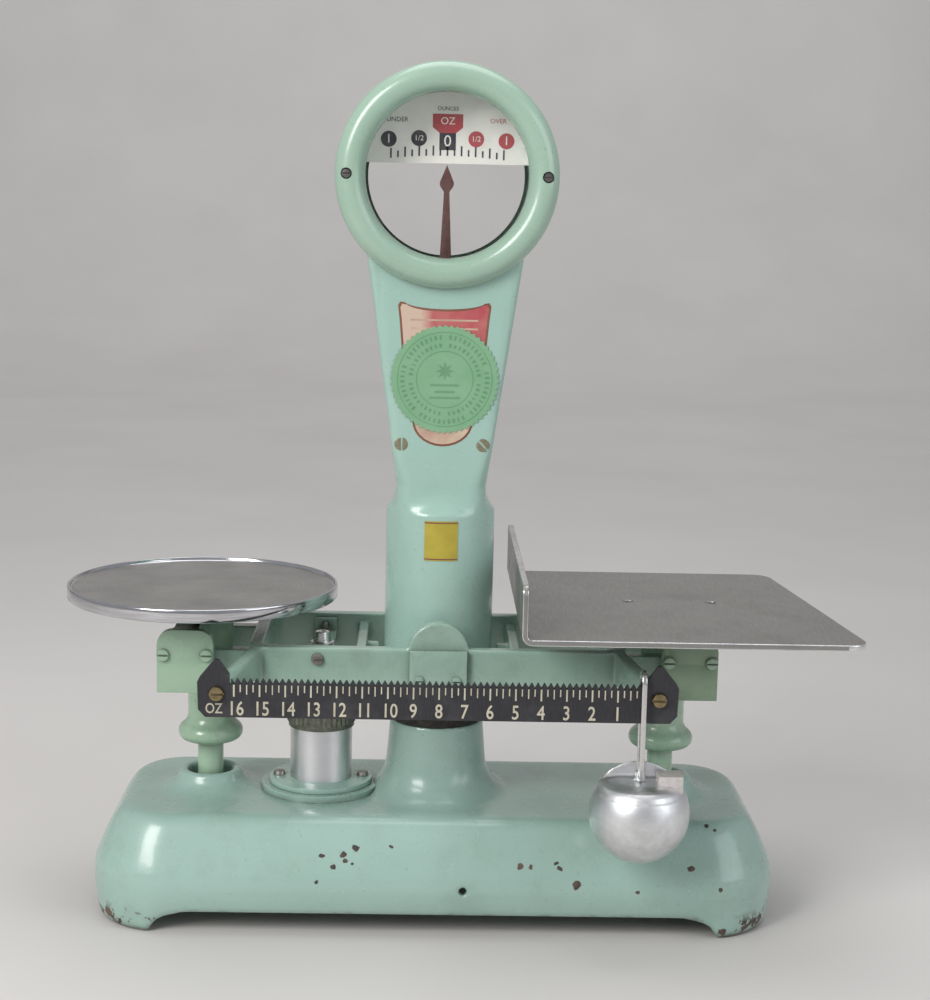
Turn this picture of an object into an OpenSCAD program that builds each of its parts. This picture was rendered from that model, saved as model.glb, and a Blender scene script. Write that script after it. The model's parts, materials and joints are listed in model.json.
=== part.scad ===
// Equal-arm counter balance with an over-and-under head, one graduated beam
// and a hanging ball poise. Millimetres. Origin: on the table, under the
// middle of the base; +X to the scoop's side, +Y to the back, +Z up.

/* [Base] */
// Half of the base's length at its widest
base_half_x = 207; // [198:1:216]
// Half of the base's width at its widest
base_half_y = 80; // [76:1:88]
// Height of the base's flat top
base_top_z = 68; // [66:1:70]
// Wall of the hollow casting
base_wall = 5; // [4:0.5:6]
// Clear height of the arches between the feet
arch_h = 12.5; // [8:0.5:14]
// Radius of the pedestal at its top
pedestal_r = 28.8; // [28:0.2:30]
// Height of the pedestal's top
pedestal_z = 114; // [112:0.5:116]

/* [Tower] */
// Outer radius of the tower's round sleeve
sleeve_r = 33.2; // [32:0.2:35]
// Height at which the sleeve stops being round
sleeve_top_z = 246; // [242:1:250]
// Half width of the neck at its narrow end
neck_low_x = 27; // [26:0.5:29]
// Half width of the neck where it meets the head
neck_high_x = 46.5; // [44:0.5:48]
// Half depth of the neck and of the head's body
neck_half_y = 26; // [24:0.5:28]
// Wall of the tower's castings
tower_wall = 3.5; // [3:0.5:4]

/* [Head] */
// Height of the head's centre
head_z = 446.3; // [440:0.5:452]
// Outer radius of the bezels
bezel_r = 65.8; // [64:0.2:68]
// Radius of the clear view through the bezels
view_r = 47.8; // [46:0.2:49]

/* [Lever] */
// Height of the lever's knife edges
pivot_z = 166; // [165:0.5:167]
// Distance from the middle knife to an end knife
arm_x = 150; // [148:0.5:152]
// How far each rail's middle is from the lever's centre line
rail_y = 48; // [47:0.5:49]
// Width of a rail
rail_w = 8; // [7:0.5:8]
// Half of the lever frame's length
frame_half_x = 113; // [110:0.5:114]
// Radius of the arched bosses over the middle knife
boss_r = 18.4; // [17:0.2:19]
// Height of the pointer's tip
pointer_tip_z = 452.8; // [448:0.2:453]

/* [Graduated beam] */
// Front face of the beam plate
beam_y = -101; // [-104:0.5:-100]
// Thickness of the beam plate
beam_t = 3.5; // [3:0.1:4]
// Height of the beam's screws
beam_z = 153.2; // [151:0.2:155]
// Where the screws are, to either side
beam_screw_x = 126; // [125:0.5:128]
// Width of one notch, a quarter of an ounce
notch = 3.64; // [3.6:0.01:3.65]
// Where the zero notch is
zero_x = 116.8; // [116.5:0.1:117]

/* [Poise] */
// Radius of the poise's ball
ball_r = 29.2; // [28:0.2:29.8]
// Height of the ball's centre
ball_z = 86.3; // [86:0.1:88]
// Height of the pin that the ball hangs on
poise_pin_z = 108; // [107.5:0.1:108.5]

/* [Hangers and pans] */
// Where the stems are, to either side
stem_x = 140.5; // [139:0.5:141]
// Radius of a stem
stem_r = 7.9; // [7.5:0.1:8.2]
// Radius of a bell's skirt
bell_r = 20.1; // [19.7:0.1:20.7]
// Height of the check link's pivots
link_z = 28; // [27.5:0.5:28.5]
// Radius of the round pan
pan_r = 82.4; // [78:0.2:86]
// Height of the round pan's rim
pan_rim_z = 196.9; // [196:0.1:200]
// Thickness of the round pan's floor
pan_floor = 3.6; // [2:0.1:4]
// How deep the round pan's floor is below its rim
pan_depth = 2.2; // [1.6:0.1:3]
// Height of the scoop's top surface
scoop_z = 189.2; // [188.5:0.1:190]
// Thickness of the scoop's sheet
scoop_t = 3.5; // [3:0.1:4]

/* [Damper] */
// Where the damper is, left of the middle
damper_x = 71.6; // [71:0.2:72.4]
// Outer radius of the damper's cup
cup_r = 19.2; // [18:0.1:19.6]

/* [Hidden] */
$fn = 64;
e = 0.01; // overshoot of a cut

paint = [0.56, 0.69, 0.61];
steel = [0.62, 0.62, 0.63];
bright = [0.82, 0.83, 0.85];
black = [0.13, 0.13, 0.15];

// ---- derived: base
corner_r = 47; // the base's corner at its widest
corner_x = base_half_x - corner_r;
corner_y = base_half_y - corner_r;
ceiling_z = base_top_z - base_wall;
mound_z = base_top_z + 11; // rim of a stem hole
stem_hole_r = 14.4;
seat_r = 36.9; // raised seat under the damper
seat_z = base_top_z + 4;
foot_x = corner_x + 19;
foot_y = corner_y + 17;
foot_r = 9;

// ---- derived: tower
stand_top_z = pedestal_z + 7; // the sleeve stands on the stand's flange
neck_z = sleeve_top_z + 16; // from here up the tower is in two halves
neck_top_z = 400;
head_r = 63;
head_bore_r = 54;
neck_screw = [24.3, 288];
slot_r = 8; // half width of the knife's slot in the sleeve
bezel_depth = 10;
glass_r = 53.6;
chart_r = 56;
chart_z = pointer_tip_z + 0.8;

// ---- derived: lever
rail_low = pivot_z - 19.5;
rail_high = pivot_z + 2.8;
rail_in = rail_y - rail_w / 2;
rail_out = rail_y + rail_w / 2;
end_arm_y = 32; // middle of an end arm
end_arm_w = 10;
knife_half_y = rail_out - 3; // the middle knife's ends are blind
play = 0.3; // between a knife edge and its bearing

// ---- derived: hangers
hanger_in = arm_x - 16.5;
hanger_out = arm_x + 17;
hanger_y = 47;
hanger_low = 139.5;
hanger_high = 177.6;
plate_t = 3;
spider_x = 144;
link_slot = 4.6; // half width of the slots that the check link runs in
cover_screws_x = [arm_x - 12.4, arm_x + 13.2];
cover_screw_z = 162.5;
pan_low = pan_rim_z - 7.9;
scoop_low = scoop_z - scoop_t;
stud_dx = 25.7; // the scoop's two locating studs

// ---- shapes shared by several parts
function arc(cx, cz, r, a0, a1, n) = earc(cx, cz, r, r, a0, a1, n);
function earc(cx, cz, rx, rz, a0, a1, n) =
    [for (i = [0:n]) let (a = a0 + (a1 - a0) * i / n)
        [cx + rx * cos(a), cz + rz * sin(a)]];

// A block between two corners
module block(low, high) {
    translate(low) cube(high - low);
}

// A round bar along Y
module bar_y(r, y0, y1, x, z) {
    translate([x, y0, z]) rotate([-90, 0, 0]) cylinder(r = r, h = y1 - y0);
}

// An outline drawn in X and Z, from y0 to y1
module slab_y(y0, y1) {
    translate([0, y1, 0]) rotate([90, 0, 0]) linear_extrude(y1 - y0) children();
}

// A slotted screw with its seat at the origin and its head up
module screw(head_r, head_h, shank_r, shank_l) {
    difference() {
        union() {
            translate([0, 0, -shank_l]) cylinder(r = shank_r, h = shank_l + e);
            cylinder(r1 = head_r, r2 = head_r * 0.85, h = head_h);
        }
        translate([-head_r - 1, -head_r * 0.13, head_h * 0.4])
            cube([2 * head_r + 2, head_r * 0.26, head_h]);
    }
}

// The same screw driven towards +Y (dir 1) or towards -Y (dir -1)
module screw_y(x, y, z, dir, head_r, head_h, shank_r, shank_l) {
    translate([x, y, z]) rotate([90 * dir, 0, 0])
        screw(head_r, head_h, shank_r, shank_l);
}

// ---- base
function side_profile(w) = concat(
    [[0, w > 0 ? -1 : 0]],
    w > 0 ? [[42, -1]] : arc(38.5, 8, 8, -90, 0, 4),
    arc(31, 27, 16 - w, 0, 24, 3),
    arc(24.5, 59 - w * 0.4, 9 - w * 0.6, 24, 90, 5),
    [[0, base_top_z - w]]);

// One profile turned at the four corners and drawn straight between them
module base_body(w) {
    turned = side_profile(w);
    for (sx = [-1, 1], sy = [-1, 1])
        translate([sx * corner_x, sy * corner_y, 0])
            rotate_extrude() polygon(turned);
    slab_y(-corner_y, corner_y) wide_profile(turned, corner_x);
    rotate([0, 0, 90]) slab_y(-corner_x, corner_x)
        wide_profile(turned, corner_y);
}

// The profile and its mirror image, moved apart by 2 * half
module wide_profile(turned, half) {
    side = [for (i = [1:len(turned) - 1]) turned[i] + [half, 0]];
    polygon(concat([for (p = side) if (p[0] > half) p],
        [for (i = [len(side) - 1:-1:0]) if (side[i][0] > half)
            [-side[i][0], side[i][1]]]));
}

// The low arch between two feet: half width at the table, length of its ends
module arch(half, end) {
    polygon(concat([[-half, -1]],
        earc(-half + end, 0, end, arch_h, 180, 90, 6),
        earc(half - end, 0, end, arch_h, 90, 0, 6), [[half, -1]]));
}

module stem_mound() {
    rotate_extrude() polygon(concat([[0, ceiling_z]], [[36, ceiling_z]],
        earc(36, mound_z - 1, 16.5, 10, 270, 180, 6),
        [[18.4, mound_z], [0, mound_z]]));
}

module pedestal() {
    rotate_extrude() polygon(concat([[0, ceiling_z], [48, ceiling_z]],
        earc(48, 90, 16.6, 90 - base_top_z, 270, 180, 8),
        [[pedestal_r + 0.4, pedestal_z - 1], [pedestal_r - 0.6, pedestal_z],
         [0, pedestal_z]]));
}

module base_casting() {
    color(paint) difference() {
        union() {
            difference() {
                base_body(0);
                base_body(base_wall);
            }
            for (sx = [-1, 1], sy = [-1, 1])
                translate([sx * foot_x, sy * foot_y, 0]) foot();
            for (sx = [-1, 1]) translate([sx * stem_x, 0, 0]) stem_mound();
            translate([-damper_x, 0, ceiling_z])
                cylinder(r = seat_r, h = seat_z - ceiling_z);
            pedestal();
        }
        slab_y(-base_half_y - 5, base_half_y + 5) arch(corner_x + 9, 24);
        for (sx = [-1, 1]) translate([sx * (corner_x + 45), 0, 0])
            rotate([0, 0, 90]) slab_y(-25, 25) arch(38, 18);
        for (sx = [-1, 1]) translate([sx * stem_x, 0, 0])
            cylinder(r = stem_hole_r, h = 100);
        translate([0, 0, ceiling_z - 1])
            cylinder(r1 = 30, r2 = 22, h = pedestal_z - 8 - ceiling_z + 1);
        for (sy = [-1, 1]) translate([0, sy * 24.5, pedestal_z - 16])
            cylinder(r = 1.75, h = 17);
        for (a = [0, 180]) translate([-damper_x, 0, 0]) rotate([0, 0, a])
            translate([26, 0, ceiling_z + 2]) cylinder(r = 2.05, h = 20);
        for (sx = [-1, 1]) translate([sx * 34, 0, ceiling_z - 1])
            cylinder(r = 2.05, h = 10);
        bar_y(2.5, -base_half_y - 5, -base_half_y + 20, 16.8, 29);
    }
}

// A flat round foot that widens up into the corner of the casting
module foot() {
    rotate_extrude() polygon([[0, 0], [foot_r, 0], [foot_r, 2], [18.5, 12],
        [18.5, 16], [0, 16]]);
}

module check_bracket() {
    color(paint) difference() {
        union() {
            block([-40, -15, ceiling_z - 5], [40, 15, ceiling_z]);
            for (sy = [-1, 1]) {
                block([-9, sy > 0 ? link_slot : -9, link_z],
                    [9, sy > 0 ? 9 : -link_slot, ceiling_z - 4]);
                bar_y(9, sy > 0 ? link_slot : -9, sy > 0 ? 9 : -link_slot,
                    0, link_z);
            }
        }
        bar_y(3, -10, 10, 0, link_z);
        for (sx = [-1, 1]) translate([sx * 34, 0, ceiling_z - 6])
            cylinder(r = 2.3, h = 8);
    }
}

module bracket_screws() {
    color(steel) for (sx = [-1, 1]) translate([sx * 34, 0, ceiling_z - 5])
        rotate([180, 0, 0]) screw(4, 3, 2, 11);
}

module check_pin() {
    color(steel) bar_y(3, -9.5, 9.5, 0, link_z);
}

// ---- fulcrum
module fulcrum_stand() {
    color(steel) difference() {
        union() {
            translate([0, 0, pedestal_z])
                cylinder(r = pedestal_r - 0.4, h = stand_top_z - pedestal_z);
            cylinder_from(20, stand_top_z - e, pivot_z - 18);
            for (sy = [-1, 1])
                block([-9, sy > 0 ? 11 : -19, pivot_z - 19],
                    [9, sy > 0 ? 19 : -11, pivot_z - 6]);
        }
        for (sy = [-1, 1]) translate([0, sy * 24.5, pedestal_z - 1])
            cylinder(r = 2, h = 10);
    }
}

module cylinder_from(r, z0, z1) {
    translate([0, 0, z0]) cylinder(r = r, h = z1 - z0);
}

module stand_screws() {
    color(steel) for (sy = [-1, 1]) translate([0, sy * 24.5, stand_top_z])
        screw(3.4, 2.2, 1.7, 20);
}

// A bearing block whose groove is opened to 60 degrees each side of the knife
module vee(half, drop, height) {
    polygon([[-half, -drop], [half, -drop], [half, height],
        [0, height - half / tan(60)], [-half, height]]);
}

module fulcrum_bearings() {
    color(steel) for (sy = [-1, 1])
        translate([0, 0, pivot_z - play])
            slab_y(sy > 0 ? 11.5 : -18.5, sy > 0 ? 18.5 : -11.5)
                vee(8.5, 6 - play, 8.5 / tan(60));
}

// ---- tower
module neck(w) {
    slab_y(-neck_half_y + w, neck_half_y - w)
        trapezium(neck_z - e, neck_top_z + w, neck_low_x - w, neck_high_x - w);
}

module trapezium(low, high, half_low, half_high) {
    polygon([[-half_low, low], [half_low, low], [half_high, high],
        [-half_high, high]]);
}

// Four slanting flats turn the round sleeve into the neck's rectangle
module shoulder(w) {
    low = sleeve_top_z - e;
    reach = sleeve_r + 8;
    intersection() {
        translate([0, 0, low])
            cylinder(r1 = sleeve_r - w, r2 = reach - w, h = neck_z - low);
        slab_y(-reach, reach)
            trapezium(low, neck_z, sleeve_r + 0.6 - w, neck_low_x - w);
        rotate([0, 0, 90]) slab_y(-reach, reach)
            trapezium(low, neck_z, sleeve_r + 0.6 - w, neck_half_y - w);
    }
}

// Both halves of the tower above the sleeve, and the sleeve itself
module tower_shell() {
    difference() {
        union() {
            difference() {
                union() {
                    cylinder_from(sleeve_r, stand_top_z, sleeve_top_z);
                    shoulder(0);
                    neck(0);
                    bar_y(head_r, -neck_half_y, neck_half_y, 0, head_z);
                }
                cylinder_from(24, stand_top_z - 1, stand_top_z + 5);
                cylinder_from(sleeve_r - tower_wall - 0.5, stand_top_z + 4,
                    sleeve_top_z + e);
                shoulder(tower_wall + 0.5);
                neck(tower_wall);
            }
            for (sx = [-1, 1])
                bar_y(5, -neck_half_y + 1, neck_half_y - 1,
                    sx * neck_screw[0], neck_screw[1]);
        }
        bar_y(head_bore_r, -neck_half_y + 4, neck_half_y - 4, 0, head_z);
        bar_y(50, -neck_half_y - 1, neck_half_y + 1, 0, head_z);
        intersection() {
            bar_y(chart_r + 0.1, -1, 1, 0, head_z);
            block([-60, -2, chart_z - 0.1], [60, 2, head_z + 60]);
        }
        for (sx = [-1, 1]) {
            bar_y(1.8, -neck_half_y - 1, 18, sx * neck_screw[0], neck_screw[1]);
            bar_y(4.7, -neck_half_y - 1, -neck_half_y + 1.6,
                sx * neck_screw[0], neck_screw[1]);
            bar_y(1.3, -neck_half_y - 1, -neck_half_y + 10, sx * 58.6, head_z);
            bar_y(1.3, neck_half_y - 10, neck_half_y + 1, sx * 58.6, head_z);
        }
        // inverted U slots, in front and behind, that let the knife in
        slab_y(-sleeve_r - 1, sleeve_r + 1) knife_slot();
    }
}

module knife_slot() {
    translate([0, pivot_z + 4.5]) circle(slot_r);
    translate([-slot_r, stand_top_z - 1])
        square([2 * slot_r, pivot_z + 5.5 - stand_top_z]);
}

module rear_half() {
    block([-80, 0, neck_z], [80, 60, head_z + 80]);
}

module tower_housing() {
    color(paint) difference() {
        tower_shell();
        rear_half();
    }
}

module tower_rear_cover() {
    color(paint) intersection() {
        tower_shell();
        rear_half();
    }
}

module neck_screws() {
    color(steel) for (sx = [-1, 1])
        screw_y(sx * neck_screw[0], -neck_half_y + 1.6, neck_screw[1], 1,
            4.4, 2, 1.7, 38);
}

// The bezel's section is half an ellipse, cut back behind for the glass
module bezel() {
    mid = (bezel_r + view_r) / 2;
    half = (bezel_r - view_r) / 2;
    difference() {
        rotate_extrude($fn = 96)
            polygon(earc(mid, 0, half, bezel_depth, 0, 180, 16));
        translate([0, 0, -1]) cylinder(r = glass_r + 0.2, h = 4);
        for (a = [0, 180]) rotate([0, 0, a]) translate([58.6, 0, -1]) {
            cylinder(r = 1.7, h = 20);
            translate([0, 0, 8]) cylinder(r = 3.2, h = 10);
        }
    }
}

module front_bezel() {
    color(paint) translate([0, -neck_half_y, head_z]) rotate([90, 0, 0]) bezel();
}

module rear_bezel() {
    color(paint) translate([0, neck_half_y, head_z]) rotate([-90, 0, 0]) bezel();
}

module bezel_screws() {
    color(steel) for (sx = [-1, 1], dir = [-1, 1])
        screw_y(sx * 58.6, -dir * (neck_half_y + 7), head_z, dir,
            3, 1.8, 1.25, 14);
}

module front_glass() {
    color([0.8, 0.88, 0.9, 0.35])
        bar_y(glass_r, -neck_half_y - 2.8, -neck_half_y, 0, head_z);
}

module rear_glass() {
    color([0.8, 0.88, 0.9, 0.35])
        bar_y(glass_r, neck_half_y, neck_half_y + 2.8, 0, head_z);
}

module dial_chart() {
    color([0.93, 0.91, 0.84]) intersection() {
        bar_y(chart_r, -0.9, 0.9, 0, head_z);
        block([-60, -2, chart_z], [60, 2, head_z + 60]);
    }
}

module shield_label() {
    side = [[26.5, 362], [25, 345], [22.5, 325], [18.6, 306]];
    color([0.55, 0.28, 0.26]) slab_y(-neck_half_y - 0.3, -neck_half_y)
        polygon(concat(
            [[-27.5, 370.5], [-26.4, 372.6]],
            earc(0, 373, 24, 4.5, 190, 350, 8),
            [[26.4, 372.6], [27.5, 370.5]], side,
            earc(0, 302, 18, 15, 0, -180, 10),
            [for (i = [len(side) - 1:-1:0]) [-side[i][0], side[i][1]]]));
}

module round_seal() {
    teeth = 56;
    color([0.45, 0.66, 0.48])
        slab_y(-neck_half_y - 0.6, -neck_half_y - 0.3)
            translate([0.8, 327]) polygon([for (i = [0:2 * teeth - 1])
                let (a = 180 * i / teeth, r = i % 2 == 0 ? 32.4 : 31)
                    [r * cos(a), r * sin(a)]]);
}

module sleeve_label() {
    color([0.75, 0.68, 0.2]) intersection() {
        difference() {
            cylinder_from(sleeve_r + 0.3, 218.7, 242.7);
            cylinder_from(sleeve_r, 218, 243);
        }
        block([-9.6, -40, 218], [10.4, 0, 243]);
    }
}

// ---- lever
module rounded_rect(half_x, half_y, r) {
    square([2 * half_x, 2 * (half_y - r)], center = true);
    square([2 * (half_x - r), 2 * half_y], center = true);
    for (sx = [-1, 1], sy = [-1, 1])
        translate([sx * (half_x - r), sy * (half_y - r)]) circle(r);
}

// The middle knife: its edge is down, at the origin
module knife_outline() {
    polygon([[0, 0], [4, 5], [4, 8], [-4, 8], [-4, 5]]);
}

// From the lever's front corner to the back of the beam's end
module beam_arm() {
    hull() {
        block([frame_half_x - 9, -rail_out + 5, rail_low + 3],
            [frame_half_x - 3, -rail_out + 10, rail_high]);
        bar_y(5, beam_y + beam_t, beam_y + beam_t + 8, beam_screw_x, beam_z);
    }
}

module lever_frame() {
    color(paint) difference() {
        union() {
            translate([0, 0, rail_low]) linear_extrude(rail_high - rail_low)
                difference() {
                    rounded_rect(frame_half_x, rail_out, 14);
                    rounded_rect(frame_half_x - rail_w, rail_in, 8);
                }
            for (sy = [-1, 1])
                bar_y(boss_r, sy > 0 ? rail_in : -rail_out,
                    sy > 0 ? rail_out : -rail_in, 0, pivot_z + 0.3);
            for (sx = [-1, 1]) {
                block([sx * 47 - 3, -rail_in - 1, pivot_z - 14],
                    [sx * 47 + 3, rail_in + 1, pivot_z - 3]);
                block([sx > 0 ? 36 : -46, -3, pivot_z - 12],
                    [sx > 0 ? 46 : -36, 3, pivot_z - 5]);
                for (sy = [-1, 1])
                    block([sx > 0 ? frame_half_x - 2 : -arm_x - 8,
                        sy * end_arm_y - end_arm_w / 2, pivot_z - 18],
                        [sx > 0 ? arm_x + 8 : -frame_half_x + 2,
                        sy * end_arm_y + end_arm_w / 2, pivot_z - 3]);
            }
            beam_arm();
            mirror([1, 0, 0]) beam_arm();
        }
        translate([0, 0, pivot_z]) slab_y(-knife_half_y, knife_half_y)
            knife_outline();
        for (sx = [-1, 1]) {
            end_knife_cut(sx);
            bar_y(1.6, beam_y, beam_y + 20, sx * beam_screw_x, beam_z);
        }
        bar_y(1.8, -rail_out - 1, rail_out + 1, -damper_x, pivot_z - 4);
        for (sx = [-1, 1], sy = [-1, 1])
            bar_y(1.6, sy > 0 ? rail_out - 6 : -rail_out - 1,
                sy > 0 ? rail_out + 1 : -rail_out + 6, sx * 11, pivot_z - 21.5 + 6);
    }
}

// An end knife has its edge up
module end_knife_outline() {
    polygon([[0, 0], [-4, -5], [-4, -9], [4, -9], [4, -5]]);
}

module end_knife_cut(sx) {
    for (sy = [-1, 1]) translate([sx * arm_x, 0, pivot_z])
        slab_y(sy * end_arm_y - end_arm_w, sy * end_arm_y + end_arm_w)
            end_knife_outline();
}

module end_knives(sx) {
    color(steel) for (sy = [-1, 1]) translate([sx * arm_x, 0, pivot_z])
        slab_y(sy * end_arm_y - 9, sy * end_arm_y + 9) end_knife_outline();
}

module left_knives() {
    end_knives(-1);
}

module right_knives() {
    end_knives(1);
}

module fulcrum_knife() {
    color(steel) translate([0, 0, pivot_z]) slab_y(-knife_half_y, knife_half_y)
        knife_outline();
}

module fulcrum_cover(sy) {
    y0 = sy > 0 ? rail_out : -rail_out - 4;
    color(paint) difference() {
        block([-17, y0, pivot_z - 24], [17, y0 + 4, pivot_z + 2.4]);
        for (sx = [-1, 1])
            bar_y(1.9, y0 - 1, y0 + 5, sx * 11, pivot_z - 15.5);
    }
}

module front_fulcrum_cover() {
    fulcrum_cover(-1);
}

module rear_fulcrum_cover() {
    fulcrum_cover(1);
}

module rail_screws() {
    color(steel) {
        for (sx = [-1, 1], dir = [-1, 1])
            screw_y(sx * 11, -dir * (rail_out + 4), pivot_z - 15.5, dir,
                3, 1.8, 1.55, 9);
        for (dir = [-1, 1])
            screw_y(-damper_x, -dir * rail_out, pivot_z - 4, dir,
                3.8, 2.2, 1.75, 16);
    }
}

// A flat blade: slim needle, spade head, and a clamp on the knife
module pointer() {
    spade_z = pointer_tip_z - 11;
    color([0.42, 0.3, 0.26]) {
        difference() {
            block([-6, -3, pivot_z - 4], [6, 3, pivot_z + 17]);
            translate([0, 0, pivot_z]) slab_y(-4, 4) knife_outline();
        }
        slab_y(-0.45, 0.45) union() {
            polygon([[-3.6, pivot_z + 16], [3.6, pivot_z + 16],
                [3.4, head_z - 48], [1.6, spade_z - 4], [-1.6, spade_z - 4],
                [-3.4, head_z - 48]]);
            translate([0, spade_z]) circle(4.2);
            polygon([[-3.9, spade_z + 1.6], [-3.9, spade_z - 1.6],
                [-1.6, spade_z - 5], [1.6, spade_z - 5], [3.9, spade_z - 1.6],
                [3.9, spade_z + 1.6], [0, pointer_tip_z]]);
        }
    }
}

module damper_bar() {
    color(steel) difference() {
        block([-damper_x - 7, -rail_in, pivot_z - 16],
            [-damper_x + 7, rail_in, pivot_z - 8]);
        translate([-damper_x, 0, pivot_z - 20]) cylinder(r = 5.6, h = 20);
    }
    color(steel) for (sy = [-1, 1]) damper_bar_ear(sy);
}

// The bar's upturned end, which its screw holds to the rail
module damper_bar_ear(sy) {
    difference() {
        block([-damper_x - 7, sy > 0 ? rail_in - 3 : -rail_in, pivot_z - 8 - e],
            [-damper_x + 7, sy > 0 ? rail_in : -rail_in + 3, pivot_z]);
        bar_y(1.8, sy * rail_in - 8, sy * rail_in + 8, -damper_x, pivot_z - 4);
    }
}

// ---- graduated beam
// The end lobe, about its screw; side is 1 at the right end
module lobe(side) {
    polygon([for (p = concat([[-12, -13.9], [6.5, -13.9], [10.5, -9.5]],
        [[11, 6.5], [9.8, 9]], arc(0.2, 17.4, 2.2, 40, 140, 3),
        [[-7.2, 11], [-7.2, 5], [-12, 5]])) [p[0] * side, p[1]]]);
}

module beam_outline() {
    low = -13.9;
    root = 5.4;
    tip = 8.2;
    first = zero_x - beam_screw_x;
    for (side = [-1, 1]) translate([side * beam_screw_x, 0]) lobe(side);
    translate([beam_screw_x, 0]) polygon(concat(
        [[-2 * beam_screw_x + 8, low], [-8, low], [-8, root]],
        [for (k = [0:64]) each [[first - k * notch + notch * 0.42, tip],
            [first - k * notch, root], [first - k * notch - notch * 0.42, tip]]],
        [[-2 * beam_screw_x + 8, root]]));
}

module graduated_beam() {
    color(black) difference() {
        translate([0, 0, beam_z]) slab_y(beam_y, beam_y + beam_t)
            beam_outline();
        for (sx = [-1, 1])
            bar_y(2, beam_y - 1, beam_y + beam_t + 1, sx * beam_screw_x, beam_z);
    }
}

module beam_screws() {
    color(bright) for (sx = [-1, 1])
        screw_y(sx * beam_screw_x, beam_y, beam_z, 1, 4.6, 2.6, 1.55, 14);
}

// ---- poise
poise_y = beam_y + beam_t / 2;
plug_x = 16.6; // the square plug's middle, right of the ball's
plug_y = -3;
plug_w = 14;
plug_h = 12.5;
plug_low = ball_z + 11.5;
loop_half = 6.4; // half width of the stirrup's loop at the strip's middle

pin_bore_r = 1.47;
leg_low = poise_pin_z - 1.7;

// The strip's outline from the side: an arch whose legs draw together
module loop_outline(half, low_z) {
    translate([poise_y, 163]) circle(half);
    polygon([for (p = [[-half, 163], [-half, 128], [2 - half, 112],
        [2 - half, low_z], [half - 2, low_z], [half - 2, 112], [half, 128],
        [half, 163]]) [poise_y + p[0], p[1]]]);
}

// A strip bent over the beam, with a blade just over the teeth and a pin below
module poise_stirrup() {
    outer = loop_half + 1.1;
    inner = loop_half - 1.1;
    blade_z = beam_z + 8.3;
    color(bright) {
        translate([zero_x - 1.4, 0, 0]) rotate([90, 0, 90])
            linear_extrude(2.8) difference() {
                loop_outline(outer, leg_low);
                loop_outline(inner, leg_low - 1);
            }
        translate([zero_x, 0, 0]) slab_y(poise_y - inner, poise_y + inner)
            polygon([[0, blade_z], [1.2, blade_z + 2], [1.2, 167.5],
                [-1.2, 167.5], [-1.2, blade_z + 2]]);
        bar_y(1.4, poise_y - outer + 2, poise_y + outer - 2, zero_x,
            poise_pin_z);
    }
}

// Side view, about the ball's middle, of what is scooped from its front
module front_scoop() {
    polygon([[-40, 12.5], [-22, 12], [-10, 13.2], [0, 15], [4.5, 17.5],
        [6.8, 20.5], [7.8, 26], [8.2, 40], [-40, 40]]);
}

module poise_ball() {
    neck = poise_pin_z - ball_z; // the pin above the ball's middle
    color(bright) difference() {
        translate([zero_x, poise_y, ball_z]) difference() {
            union() {
                difference() {
                    rotate_extrude($fn = 96)
                        polygon(arc(0, 0, ball_r, -90, 90, 36));
                    rotate([90, 0, 90]) linear_extrude(80, center = true)
                        front_scoop();
                }
                rotate_extrude() polygon([[0, 8], [11, 9.5], [8, 13.6],
                    [5, 16.8], [3, 18.6], [3, neck + 2.4], [2.3, neck + 3.4],
                    [0, neck + 3.4]]);
            }
            translate([0, 0, neck]) rotate([90, 0, 0])
                cylinder(r = pin_bore_r, h = 30, center = true);
        }
        plug_shape();
    }
}

// A square head on a round shank that closes the ball's shot hole
module plug_shape() {
    half = plug_w / 2;
    translate([zero_x + plug_x, poise_y + plug_y, 0]) {
        cylinder_from(5, plug_low - 9, plug_low + e);
        block([-half, -half, plug_low], [half, half, plug_low + plug_h]);
    }
}

module poise_plug() {
    color(steel) plug_shape();
}

// ---- hangers: each is drawn on the right and mirrored to the left
module side(s) {
    mirror([s < 0 ? 1 : 0, 0, 0]) children();
}

// Outline of a cover plate, with its shoulders cut off
module cover_outline() {
    polygon(concat([[hanger_in, hanger_low], [hanger_out, hanger_low]],
        arc(hanger_out - 9, hanger_high - 9, 9, 0, 90, 5),
        arc(hanger_in + 9, hanger_high - 9, 9, 90, 180, 5)));
}

module hanger_body() {
    difference() {
        union() {
            for (sy = [-1, 1])
                slab_y(sy > 0 ? hanger_y - 4 : -hanger_y,
                    sy > 0 ? hanger_y : -hanger_y + 4) cover_outline();
            block([hanger_in + 9, -hanger_y + 1, pivot_z + 4],
                [hanger_out - 9, hanger_y - 1, hanger_high]);
            translate([stem_x, 0, 0]) rotate_extrude() polygon(concat(
                [[0, 98.2], [14, 97.6]],
                arc(bell_r - 5.5, 103.1, 5.5, -90, 30, 6),
                earc(bell_r + 0.4, 115, 6.5, 8, 248, 180, 6),
                [[14, hanger_high - 2], [0, hanger_high - 2]]));
        }
        translate([stem_x, 0, 90]) cylinder(r = stem_r, h = 30);
        for (sy = [-1, 1], x = cover_screws_x)
            bar_y(1.55, sy * hanger_y - 8, sy * hanger_y + 8, x, cover_screw_z);
        for (sy = [-1, 1])
            translate([spider_x, sy * 9, hanger_high - 20])
                cylinder(r = 1.75, h = 21);
    }
}

module cover_plate(sy) {
    difference() {
        slab_y(sy > 0 ? hanger_y : -hanger_y - plate_t,
            sy > 0 ? hanger_y + plate_t : -hanger_y) cover_outline();
        for (x = cover_screws_x)
            bar_y(1.9, sy * hanger_y - 8, sy * hanger_y + 8, x, cover_screw_z);
    }
}

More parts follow.
